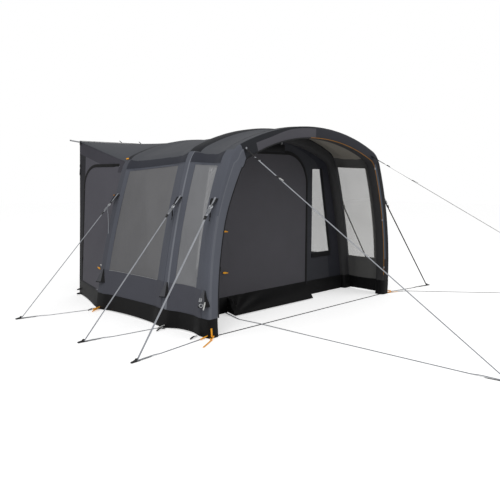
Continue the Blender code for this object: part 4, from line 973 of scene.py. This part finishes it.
flap = cloth("front_door_mud_flap", chain((-0.1, 0, 3), (0, 1, 50)), steps(0, 1, 12), flap_point, [MUD],
             facing=(0, -1, 0.5), body=None)
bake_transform(flap)
declare(flap, "draped", "mud_wall_fabric")
zip_way = d_outline(-DOOR_HALF, DOOR_HALF, SKIRT_TOP - 0.1, DOOR_TOP, DOOR_CORNER, DOOR_CORNER, 0.012,
                    arc_steps=16)[17:]
zip_way = line((-0.31, zip_way[0][1]), zip_way[0], 10) + zip_way[1:-1] + line(*zip_way[-2:], 20)
flap = tape("front_zip_flap", [(x, FRONT_Y - 0.0005, z) for x, z in zip_way], FORWARD,
            narrowing(0.052, 0.028, 4, len(zip_way)), 0.003, ZIP)
stands_for(flap, "zip_tape")

rear = inner_wall("rear_wall_cloth", "rear", [INNER])
cut(rear, d_outline(-0.95, 0.95, -0.1, 1.70, 0.25, 0.25), "Y", Y["rear"], 0.05)
declare(rear, "stretched", "inner_fabric", "rear_wall")


# ---------------------------------------------------------------- mud walls

def skirt_line():
    """The mud wall's line in plan: inset, y, the hem's height and the arches that set its width."""
    mid = ROUND * (1 - math.cos(math.radians(45)))
    turn = HEEL * math.sin(math.radians(45))
    half = [(0.0, HALF - ROUND), (mid, HALF - mid), (ROUND, HALF), (0.05, HALF), (SLEEVE - HEEL, HALF),
            (SLEEVE - HEEL + turn, HALF - HEEL + turn), (SLEEVE, HALF - HEEL)]
    round_leg = half + [(n, -y) for n, y in reversed(half)]
    over_leg = [(0.0, -(HALF - ROUND)), (0.0, HALF - ROUND)]

    def on_leg(name, points):
        return [(n, Y[name] + y, 0.002, (name, name, 0.0)) for n, y in points]

    def bay(first, last, rise):
        start, end = Y[first] + HALF - LAP, Y[last] - HALF + LAP
        return [(panel_inset(y, start, end), y, 0.002 + rise * math.sin(math.pi * k / 24),
                 (first, last, (y - Y[first]) / (Y[last] - Y[first])))
                for k, y in enumerate(steps(start, end, 24)) if 0 < k < 24]
    made = on_leg("front", [(PANEL_INSET + 0.009, HALF)] + round_leg[3:] + round_leg[:1])
    made += bay("front", "middle", 0.014) + on_leg("middle", over_leg)
    made += bay("middle", "rear", 0.012) + on_leg("rear", over_leg[:1] + round_leg[:3])
    made.append((PANEL_INSET, Y["rear"] + HALF, 0.002, ("rear", "edge", 0.0)))
    for y in steps(HINGE_Y, Y["edge"], 9):
        rise = 0.02 * math.sin(math.pi * (y - REAR_START) / (Y["edge"] - REAR_START))
        made.append((PANEL_INSET, y, 0.002 + rise, ("rear", "edge", y)))
    return made


def skirt_half(inset, z, place):
    """Half the mud wall's width at a height: between two arches, or beside the tunnel."""
    first, last, share = place
    if last != "edge":
        a, b = leg_x(first, inset, z), leg_x(last, inset, z)
        return a + (b - a) * share
    if share == 0.0:
        return leg_x("rear", PANEL_INSET, z) + PANEL_INSET - inset
    edge = FOOT_HALF + (TOP_HALF - FOOT_HALF) * z / TUNNEL_TOP
    return hinge_x(z) + (edge - hinge_x(z)) * (share - HINGE_Y) / (Y["edge"] - HINGE_Y) + PANEL_INSET - inset


def moved_out(points, distance):
    """A plan line moved to its outer side."""
    normals = [(-(b[1] - a[1]) / math.dist(a, b), (b[0] - a[0]) / math.dist(a, b))
               for a, b in zip(points, points[1:])]
    made = []
    for point, one, two in zip(points, normals[:1] + normals, normals + normals[-1:]):
        mid = (one[0] + two[0], one[1] + two[1])
        scale = 2 * distance / (mid[0] ** 2 + mid[1] ** 2)
        made.append((point[0] + mid[0] * scale, point[1] + mid[1] * scale))
    return made


LINE = skirt_line()
PLAN = moved_out([(n, y) for n, y, _, _ in LINE], 0.0040)
for side, hand in SIDES:
    def put(u, v):
        n, y = PLAN[u]
        _, _, hem, place = LINE[u]
        z = hem + v * (SKIRT_TOP - hem)
        return (side * skirt_half(n, z, place), min(y, Y["edge"]), z)
    skirt = cloth("mud_wall_" + hand, list(range(len(LINE))), steps(0, 1, 6), put, [MUD], thick=0.0012)
    step = skirt.modifiers.new("smooth", "SUBSURF")
    step.levels = step.render_levels = 1
    apply_all(skirt)
    declare(skirt, "hung", "mud_wall_fabric", "skirt_" + hand)
    inner = DOOR_HALF + (0.010 if side < 0 else 0.0243)
    low, high = leg_x("middle", SLEEVE, 0.002) - GAP, leg_x("middle", SLEEVE, SKIRT_TOP) - GAP
    skirt = cloth("front_mud_wall_" + hand, steps(0, 1, 12), steps(0, 1, 6),
                  lambda u, v: (side * (inner + u * (low + (high - low) * v - inner)), FRONT_Y - 0.003,
                                0.002 + v * 0.188),
                  [MUD], facing=FORWARD, thick=0.0012, folds=ripple(0.002, 9, 1, 3, held=False))
    declare(skirt, "hung", "mud_wall_fabric", "front_skirt_" + hand)


# ---------------------------------------------------------------- small parts

def tube(name, path, radius, finish, sides=10, up=UP):
    """A round piece along a path. radius is a number or one for each point."""
    points = [Vector(p) for p in path]
    radii = radius if isinstance(radius, list) else [radius] * len(points)

    def put(u, v):
        along = (points[min(v + 1, len(points) - 1)] - points[max(v - 1, 0)]).normalized()
        side = along.cross(up).normalized()
        turn = math.tau * u / sides
        return tuple(points[v] + radii[v] * (side * math.cos(turn) + side.cross(along) * math.sin(turn)))
    return cloth(name, list(range(sides + 1)), list(range(len(points))), put, [finish], thick=0.0008, weld=True)


def joined(name, *pieces):
    """Joins small pieces that are sewn together, and names the result."""
    only(*pieces)
    bpy.ops.object.join()
    piece = bpy.context.object
    piece.name = piece.data.name = name
    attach(piece, BODY)
    return piece


def frame_at(origin, along, out):
    """A small part's own frame: X across, Y along, Z out."""
    y, z = Vector(along).normalized(), Vector(out)
    x = y.cross(z).normalized()
    made = Matrix((x, y, x.cross(y))).transposed().to_4x4()
    made.translation = Vector(origin)
    return made


def blocks(name, frame_of_part, boxes, finish, edge=0.0012):
    """A moulded part made of bevelled bars: each is (centre, size) in the part's frame."""
    bars = []
    for centre, size in boxes:
        bar = begun(name, bpy.ops.mesh.primitive_cube_add, size=1)
        bar.data.transform(Matrix.Translation(centre) @ Matrix.Diagonal((*size, 1)))
        step = bar.modifiers.new("edge", "BEVEL")
        step.width, step.segments = min(edge, min(size) * 0.3), 2
        apply_all(bar)
        bar.data.transform(frame_of_part)
        bars.append(bar)
    only(*bars)
    if len(bars) > 1:
        bpy.ops.object.join()
    bars[0].data.materials.append(finish)
    rounded(30)
    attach(bars[0], BODY)


def ring(name, frame_of_part, radius, wire, finish, body=BODY):
    piece = begun(name, bpy.ops.mesh.primitive_torus_add, major_radius=radius, minor_radius=wire,
                  major_segments=24, minor_segments=8)
    piece.data.transform(frame_of_part)
    piece.data.materials.append(finish)
    bpy.ops.object.shade_smooth()
    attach(piece, body)
    return piece


LOCK = [((-0.015, 0, 0), (0.004, 0.036, 0.006)), ((0.015, 0, 0), (0.004, 0.036, 0.006)),
        ((0, -0.016, 0), (0.034, 0.005, 0.006)), ((0, 0.016, 0), (0.034, 0.005, 0.006)),
        ((0, 0.002, 0.002), (0.030, 0.007, 0.005)), ((0, -0.008, 0.003), (0.026, 0.006, 0.003))]
TAB = [((0, 0, 0), (0.026, 0.030, 0.004)), ((0, -0.012, 0.002), (0.030, 0.005, 0.007))]


def guy_line(title):
    """A guy's upper part: at(distance, off) is a point along it, there(distance, off, size) a small
    part's frame at one, and last comes the level direction across it."""
    start, peg = Vector(GUYS[title][0]), Vector((*GUYS[title][1], 0.02))
    way = (peg - start).normalized()
    level = Vector((way.y, -way.x, 0)).normalized()
    out = level.cross(way) if level.cross(way).z > 0 else way.cross(level)

    def at(distance, off):
        return start + way * distance + out * off

    def there(distance, off, size=1.0):
        return frame_at(at(distance, off), way, out) @ Matrix.Scale(size, 4)
    return at, there, level


# Side guys: two straps on the leg meet at a ring, then a ladder lock, its tab and the loose tail.
# How far down the guy ring, lock and tab are, and the tail's length and webbing
SIDE_HARDWARE = {"rear": (0.165, 0.24, 0.31, 0.40, GUY_WEB), "middle": (0.135, 0.20, 0.27, 0.12, BLACK_WEB),
                 "front": (0.105, 0.17, 0.245, 0.12, BLACK_WEB)}
for side, hand in SIDES:
    for name, (to_ring, to_lock, to_tab, tail, tail_web) in SIDE_HARDWARE.items():
        title = hand + "_" + name
        at, there, _ = guy_line(title)
        foot = crest(name, TOP - 0.012, side)[0] + crest(name, TOP, side)[2] * 0.005
        for kind, shift, web in (("near", -0.030, BLACK_WEB), ("far", 0.040, BLACK_WEB if name == "front" else TRIM)):
            short_strap(f"guy_v_strap_{kind}_{title}", line(foot + ALONG * shift, at(to_ring, 0.002), 4),
                        0.034 if web is BLACK_WEB else 0.024, web, ALONG)
        ring("guy_ring_" + title, there(to_ring + 0.012, 0.002), 0.022, 0.0044, SILVER)
        blocks("ladder_lock_" + title, there(to_lock, 0.004, 1.35), LOCK, GREY_PLASTIC)
        blocks("guy_tab_" + title, there(to_tab, 0.004, 1.3), TAB, CAP)
        drop = [at(to_lock - 0.03, 0.006) + Vector((-side * 0.010 * math.sin(3 * t), 0.006 * t, -tail * t))
                for t in steps(0, 1, 8)]
        short_strap("guy_tail_" + title, drop, 0.014 if tail_web is BLACK_WEB else 0.007, tail_web, ALONG)

# Front guys: a black strap on the brow, its ring and buckle, then the runner with its pale tab
for title, strap_end, buckle, runner in (("front_left", 0.13, 0.15, 0.47), ("front_right", 0.19, 0.22, 0.62)):
    at, there, level = guy_line(title)
    path = line(at(-0.02, 0.002), at(strap_end, 0.002), 5)
    path[0] = Vector(path[0]) - ALONG * 0.004
    short_strap("guy_head_strap_" + title, path, 0.032, BLACK_WEB, level)
    ring("guy_ring_" + title, there(0.035, 0.004), 0.016, 0.003, CAP)
    blocks("guy_buckle_" + title, there(buckle + 0.02, 0.004), LOCK, CAP)
    blocks("guy_buckle_bar_" + title, there(buckle + 0.045, 0.004), [((0, 0, 0), (0.034, 0.006, 0.006))], SILVER)
    blocks("guy_runner_" + title, there(runner, 0.003), LOCK, CAP)
    short_strap("guy_runner_tab_" + title, line(at(runner + 0.02, 0.006), at(runner + 0.07, 0.012), 3), 0.020,
                PALE_WEB, level)


# Piping along the porch's inner edge: black over the brow's left and the left leg, orange on the right
def edge_path(first, last, count):
    stations = [station("front", face_depth("front", s) - 0.004, s) for s in steps(first, last, count)]
    return [(x, FACE + 0.001, z) for x, z in stations]


tube("edge_piping_black", edge_path(4.08, 7.0, 60), 0.0062, BLACK_WEB, 8, ALONG)
tube("edge_piping_orange", edge_path(1.05, 4.08, 58), 0.0031, ORANGE_CORD, 8, ALONG)
for number, s in enumerate((2.0, 1.55, 1.12), 1):
    x, z = station("front", face_depth("front", s) + 0.004, s)
    ring(f"edge_ring_{number}", frame_at((x, FACE - 0.006, z), UP, FORWARD), 0.010, 0.0024, SILVER)


# ---------------------------------------------------------------- beams and valves

BLADDER = 0.058
VALVE_HEIGHT = 0.385
for name in ARCH:
    def put(u, v):
        turn = math.tau * u / 16
        x, z = station(name, SLEEVE / 2 - BLADDER * math.cos(turn), v)
        return (x, Y[name] + BLADDER * math.sin(turn), max(z, 0.004))
    beam = cloth("air_beam_bladder_" + name, list(range(17)),
                 chain((0.02, 1, 3), (1, 2, 14), (2, 3, 12), (3, 4, 14), (4, 5, 14), (5, 6, 12), (6, 7, 14),
                       (7, 7.98, 3)),
                 put, [TPU], thick=0.0008, weld=True)
    seat, up, out = crest(name, VALVE_HEIGHT)
    flange = ring("valve_flange_" + name, frame_at(seat + out * 0.003, up, out), 0.022, 0.004, SILVER)
    stands_for(joined("air_beam_bladder_" + name, beam, flange), "bladder", "air_beam_" + name)
    ring("valve_patch_" + name, frame_at(seat + out * 0.0015, up, out), 0.034, 0.0025, CAP)
    ring("valve_neck_" + name, frame_at(seat + out * 0.006, up, out), 0.0215, 0.002, SILVER, "valve_cap_" + name)


def hood_point(name, u, v):
    """The cover flap over a valve, a tent on the sleeve: hinged at its narrow top and standing off
    at its mouth. The front one is pushed open and crumpled."""
    open_one = name == "front"
    crumple = v * (1.0 if open_one else 0.25)
    top, _, out = crest(name, 0.470)
    end = crest(name, 0.318)[0]
    w = 2 * u - 1
    width = 0.034 + 0.118 * v ** 0.9
    stand = (0.078 + 0.010 * open_one) * v ** 0.85
    rise = 0.004 + stand * (1 - abs(w) ** 1.15) + 0.007 * crumple * math.sin(11 * u + 5 * v)
    side = w * width / 2 + 0.010 * crumple * math.sin(6 * v)
    return tuple(top + (end - top) * (v + 0.05 * v * (1 - w * w)) + ALONG * side + out * rise)


for name in ARCH:
    # The hood's front side, u under 0.20, and the edge of its mouth take the black cloth as painted shade
    hood = cloth("valve_hood_" + name, steps(0, 1, 18), steps(0, 1, 16), lambda u, v: hood_point(name, u, v),
                 [HOOD, BLACK_CLOTH_AND_HOOD_SHADE], lambda u, v: 1 if u < 0.20 or v > 0.93 else 0, facing=(-1, 0, 0.2),
                 body="valve_flap_" + name)
    stands_for(hood, "outer_fabric", "valve_flap_" + name)
seat, out = crest("front", 0.335)[0], crest("front", 0.36)[2]
short_strap("valve_pull_front", line(seat + out * 0.030 + Vector((0, -0.045, 0.03)),
                                     seat + out * 0.070 + Vector((0, -0.065, -0.04)), 5), 0.014, PALE_WEB, ALONG)
blocks("valve_pull_toggle", frame_at(seat + out * 0.075 + Vector((0, -0.03, 0.055)), (0.3, 0, 1), out), LOCK, SILVER)
ring("valve_pull_ring", frame_at(seat + out * 0.085 + Vector((0, -0.05, 0.005)), UP, (-0.6, -0.6, 0)), 0.016, 0.003,
     SILVER)


# ---------------------------------------------------------------- rolled door, spacer strap, beading

roll_x, roll_y, low, high, ties = -1.005, Y["rear"] - FABRIC / 2 - GAP - 0.045, 0.20, 1.55, (0.65, 1.10)
radii = [0.044 - 0.008 * math.exp(-(min(abs(z - tie) for tie in ties) / 0.02) ** 2)
         - 0.010 * math.exp(-min(z - low, high - z) / 0.012) + 0.0008 * math.sin(k * 1.9)
         for k, z in enumerate(steps(low, high, 40))]
rolled = tube("rear_door_rolled", line((roll_x, roll_y, low), (roll_x, roll_y, high), 40), radii, INNER, 20, ALONG)
coil = [(roll_x + (0.006 + 0.0032 * a) * math.cos(a), roll_y + (0.006 + 0.0032 * a) * math.sin(a), high - 0.002)
        for a in steps(0, 10.5, 50)]
spiral = tube("rear_door_roll_end", coil, 0.0015, INNER, 6)
stands_for(joined("rear_door_rolled", rolled, spiral), "inner_fabric", "rear_door_roll")
for number, z in enumerate(ties, 1):
    ring(f"roll_tie_{number}", Matrix.Translation((roll_x, roll_y, z)), 0.0375, 0.004, BLACK_WEB)
end = leg_x("front", SLEEVE, 0.002) - 0.007
spacer = strap("spacer_webbing", line((-end, spacer_y, 0.0016), (end, spacer_y, 0.0016), 20), WEB_WIDTH, WEB, TRIM)
stands_for(spacer, "webbing", "front_spacer_strap")
bead = [line((-1.20, Y["edge"] + off, TUNNEL_TOP - down), (1.20, Y["edge"] + off, TUNNEL_TOP - down), 24)
        for off, down in ((0.0038, 0.0035), (0.0016, 0.018))]
bead = joined("rail_bead", tube("rail_bead", bead[0], 0.0033, CAP, 12),
              tape("bead_tape", bead[1], (0, 1, 0), 0.028, 0.0018, TRIM))
stands_for(bead, "beading", "rail_beading")


# ---------------------------------------------------------------- seams, toggles, loops, pocket

# Seams between the tunnel's roof and walls, hems under its doors, bindings, eave and sill seams
for side, hand in SIDES:
    seam = [(side * (x + 0.001), y, z + 0.001) for x, y, z in (tunnel_roof_point(u, 2.5) for u in steps(0, 1, 16))]
    tape("gusset_seam_" + hand, seam, (side, 0, 0.9), 0.020, 0.0022, ROOF_CLOTH)
    hem = [tunnel_at(y, DOOR_SILL - 0.001, side, 0.0018) for y in steps(HINGE_Y + 0.046, DOOR_FAR + 0.01, 16)]
    tape("door_hem_" + hand, hem, (side, 0, 0.1), 0.020, 0.0020, EDGE_WALL, "tunnel_door_" + hand)
    edge = [(side * (edge_point(z)[0] + 0.003), Y["edge"] - 0.006, z) for z in steps(0.01, TUNNEL_TOP - 0.02, 24)]
    tape("tunnel_edge_binding_" + hand, edge, (side, 0.2, 0), 0.014, 0.003, BLACK_WEB)
    for kind, bay, first, last, v, finish in (("eave", "porch", 0, 3, 2.16, BAND), ("eave", "room", 0, 3, 2.16, BAND),
                                              ("sill", "room", 1, 2, 0.985, PALE_HEM)):
        tape(f"{kind}_seam_{bay}_{hand}", [bay_point(bay, u, v, side, 0.0022) for u in steps(first, last, 26)],
             (side, 0, 0.15), 0.007, 0.0016, finish)
edge = [tunnel_roof_point(1.0, s, 0.002) for s in steps(2.5, 5.5, 30)]
tape("tunnel_roof_binding", [(x, y - 0.005, z + 0.001) for x, y, z in edge], (0, 0.1, 1), 0.012, 0.003, BLACK_WEB)


def toggle(name, at, along, out, finish=ORANGE, size=0.045):
    """A toggle on its sewn loop: a tapered bar with a waist, and the webbing that holds it."""
    at, along, out = Vector(at), Vector(along).normalized(), Vector(out).normalized()
    bars = [((0, size * k, 0), (wide, size * 0.30, 0.008))
            for k, wide in ((-0.36, 0.018), (-0.12, 0.022), (0.12, 0.015), (0.36, 0.011))]
    blocks(name + "_bar", frame_at(at + out * 0.010, along, out), bars, finish, 0.002)
    short_strap(name + "_loop", line(at + along * (size * 0.30) + out * 0.012,
                                     at + along * (size * 0.42) + out * 0.0015, 3), 0.012, TRIM, out.cross(along))


for number, (y, z, finish, size) in enumerate(((0.585, 1.335, ORANGE_CORD, 0.034), (0.672, 0.455, ORANGE, 0.055),
                                               (0.60, 0.50, PALE_WEB, 0.030)), 1):
    toggle(f"tunnel_toggle_{number}", tunnel_at(y, z, -1, 0.002), (0, 1, 0.25), (-1, 0, 0), finish, size)
x, z = station("rear", -0.004, 5.44)
toggle("rear_sleeve_toggle", (x, Y["rear"] + 0.03, z), ALONG, (-0.8, 0, 0.6), size=0.05)
for number, z in enumerate((0.945, 0.473), 1):
    toggle(f"door_toggle_{number}", (-0.752, FRONT_Y - 0.006, z), (1, 0, -0.12), FORWARD, size=0.075)

# Vent with its cable pocket over the door, its grey lip and ring
cloth("vent_pocket", steps(-0.245, 0.26, 20), steps(0, 1, 8),
      lambda u, v: (u, FRONT_Y - 0.004 - 0.012 * math.sin(math.pi * v), 1.850 + 0.105 * v),
      [BLACK_CLOTH_AND_HOOD_SHADE, TRIM], lambda u, v: 1 if v < 0.12 else 0, facing=FORWARD,
      folds=ripple(0.003, 9, 1, 6, held=False))
ring("pocket_ring", frame_at((0.203, FRONT_Y - 0.012, 1.962), UP, FORWARD), 0.011, 0.0025, SILVER)
# The rolled blinds beside and under the front windows
for side, hand in SIDES:
    tape("front_blind_flap_" + hand,
         line((side * 0.82, FRONT_Y - 0.006, 0.525), (side * 1.21, FRONT_Y - 0.006, 0.525), 8),
         FORWARD, 0.058, 0.010, BLACK_CLOTH_AND_HOOD_SHADE)
    tape("front_blind_edge_" + hand,
         line((side * 1.215, FRONT_Y - 0.004, 0.55), (side * 1.005, FRONT_Y - 0.004, 1.67), 12),
         FORWARD, steps(0.050, 0.028, 12), 0.006, BLACK_CLOTH_AND_HOOD_SHADE)
# The strap that closes the door's zip at the ground
zip_x = DOOR_HALF + 0.012
short_strap("door_zip_strap", line((zip_x, FRONT_Y - 0.010, 0.20), (zip_x, FRONT_Y - 0.020, 0.03), 5), 0.015, TRIM,
            ACROSS)
blocks("door_zip_buckle", frame_at((zip_x, FRONT_Y - 0.026, 0.03), UP, FORWARD), LOCK, SILVER)


def peg_loop(name, at, out, finish, reach=0.10):
    """A loop of webbing sewn to the mud wall's hem for a peg."""
    at, out = Vector(at), Vector((*out, 0)).normalized()
    side = Vector((-out.y, out.x, 0))
    points = [at + out * (reach * math.sin(turn)) + side * (0.016 * math.cos(turn)) +
              UP * (0.006 + 0.022 * math.cos(turn / 2) ** 2) for turn in steps(0, math.pi, 10)]
    tube(name, points, 0.00616, finish, 8)


foot_x = leg_x("front", 0.0, 0.01)
for side, hand in SIDES:
    for name, finish in (("front", ORANGE), ("middle", PALE_WEB), ("rear", ORANGE)):
        at = (side * (leg_x(name, 0.0, 0.01) + 0.006), Y[name] - 0.02, 0.0)
        peg_loop(f"peg_loop_{name}_{hand}", at, (side, -0.3), finish)
    at = (side * (FOOT_HALF + 0.006), Y["edge"] - 0.05, 0.0)
    peg_loop("peg_loop_tunnel_" + hand, at, (side, 0.1), BLACK_WEB, 0.06)
    blocks("hem_buckle_" + hand, frame_at((side * (leg_x("middle", 0, 0.01) + 0.05), Y["middle"] - 0.08, 0.012),
                                          (side, -0.3, 0.1), UP), LOCK, CAP)
pull = [(-leg_x("front", 0.020, z), FACE - 0.008, z) for z in steps(0.105, 0.02, 5)]
short_strap("boot_pull", pull, 0.020, ORANGE, ACROSS)
peg_loop("boot_loop", (-leg_x("front", 0.02, 0.01), FACE - 0.010, 0.0), (-0.6, -0.6), ORANGE, 0.07)
for name, a, b, width, finish, sewn in (
        ("boot_tail", (-1.62, FACE - 0.05), (-1.84, FACE - 0.18), 0.018, ORANGE, Vector((0.6, -0.8, 0))),
        ("right_foot_strap", (foot_x + 0.02, FACE + 0.02), (foot_x + 0.18, FACE - 0.04), 0.020, ORANGE, ALONG),
        ("right_foot_tail", (foot_x + 0.18, FACE - 0.04), (foot_x + 0.34, FACE - 0.112), 0.018, PALE_WEB, ALONG)):
    short_strap(name, line((*a, 0.006), (*b, 0.006), 6), width, finish, sewn)

# Straps at the mud wall's hem, and loops at the tunnel's corners
for side, hand in SIDES:
    for name, shift, finish in (("rear", -0.06, ORANGE), ("rear", 0.03, BLACK_WEB), ("middle", -0.05, BLACK_WEB),
                                ("front", 0.10, BLACK_WEB)):
        at = Vector((side * (leg_x(name, 0.0, 0.01) + 0.02), Y[name] + shift, 0.006))
        lying = [at + Vector((side * 0.13 * t, -0.05 * t, 0.010 * math.sin(math.pi * t))) for t in steps(0, 1, 6)]
        short_strap(f"hem_strap_{name}_{hand}_{'far' if shift > 0 else 'near'}", lying, 0.022, finish,
                    Vector((0.3, 1, 0)).normalized())
    for number, shift in ((1, 0.0), (2, -0.09)):
        at = (side * (FOOT_HALF + 0.01), Y["edge"] - 0.04 + shift, 0.02 + 0.04 * number)
        peg_loop(f"corner_loop_{hand}_{number}", at, (side, 0.5 - number), BLACK_WEB, 0.07)

# Rod stub, buckles and straps on the tunnel's edge
edge_y, rod_z = Y["edge"] - 0.02, TUNNEL_TOP - 0.012
tube("rod_stub", line((-TOP_HALF - 0.02, edge_y, rod_z), (-TOP_HALF - 0.15, edge_y, rod_z + 0.016), 4), 0.009,
     SILVER, 12)
blocks("tunnel_corner_buckle", frame_at((-TOP_HALF - 0.010, edge_y - 0.01, rod_z - 0.02), UP, (-1, 0, 0)), LOCK, CAP)
hang = [(-edge_point(z)[0] - 0.008, edge_y, z) for z in steps(TUNNEL_TOP - 0.06, TUNNEL_TOP - 0.27, 6)]
short_strap("tunnel_edge_strap", hang, 0.014, PALE_WEB, ALONG)
blocks("tunnel_edge_buckle", frame_at((-edge_point(1.70)[0] - 0.012, edge_y, 1.70), UP, (-1, 0, 0)), LOCK, CAP)
hang = [(-edge_point(z)[0] - 0.012 - 0.008 * math.sin(9 * z), edge_y, z) for z in steps(1.66, 1.58, 6)]
short_strap("tunnel_edge_loop", hang, 0.018, TRIM, ALONG)
for number, x in ((1, -0.62), (2, -0.30)):
    stub = line((x, edge_y - 0.01, TUNNEL_TOP + 0.004), (x - 0.048, edge_y - 0.026, TUNNEL_TOP + 0.028), 4)
    short_strap(f"roof_strap_stub_{number}", stub, 0.014, BLACK_WEB, ALONG)

for name in ARCH:
    refinish("valve_cap_" + name, CAP)
for name in ("front_zip_slider", "tunnel_zip_slider_left", "tunnel_zip_slider_right"):
    refinish(name, SLIDER)


# ---------------------------------------------------------------- floor and light

floor = begun("studio_floor", bpy.ops.mesh.primitive_plane_add, size=60, location=(0, 0, -0.001))
pale = Finish("pale studio floor", Base_Color=colour("#f2f2f2"), Roughness=0.9)
tree = pale.tree
glow = node(tree, "Emission", {"Color": (1, 1, 1, 1)})
seen = node(tree, "LightPath")
share = node(tree, "Math", {"operation": "MULTIPLY", 1: 0.50}, i0=seen.outputs["Is Camera Ray"])
tree.links.new(share.outputs[0], glow.inputs["Strength"])
both = node(tree, "AddShader", i0=pale.shader.outputs[0], i1=glow.outputs[0])
tree.links.new(both.outputs[0], tree.nodes["Material Output"].inputs[0])
floor.data.materials.append(pale.material)
floor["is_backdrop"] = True

world = bpy.data.worlds.new("studio")
bpy.context.scene.world = world
world.use_nodes = True
tree = world.node_tree
tree.nodes["Background"].inputs["Color"].default_value = (1, 1, 1, 1)
seen = node(tree, "LightPath")
direct = node(tree, "Math", {"operation": "MAXIMUM"}, i0=seen.outputs["Is Camera Ray"],
              i1=seen.outputs["Is Transmission Ray"])
level = node(tree, "MapRange", {"To Min": 0.55, "To Max": 1.0}, Value=direct.outputs[0])
tree.links.new(level.outputs[0], tree.nodes["Background"].inputs["Strength"])

for name, place, power, size in (("key", (-6.5, -4.5, 6.5), 200, 3.5), ("fill", (5.0, -6.5, 4.5), 90, 4.0)):
    lamp = aimed(name, bpy.data.lights.new(name, "AREA"), place, Vector((0, 0, 0.9)) - Vector(place))
    lamp.data.energy, lamp.data.size = power, size

bpy.context.scene.view_settings.view_transform = "Standard"

low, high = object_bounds()
{"cad": [list(cad_low), list(cad_high)], "scene": [list(low), list(high)]}
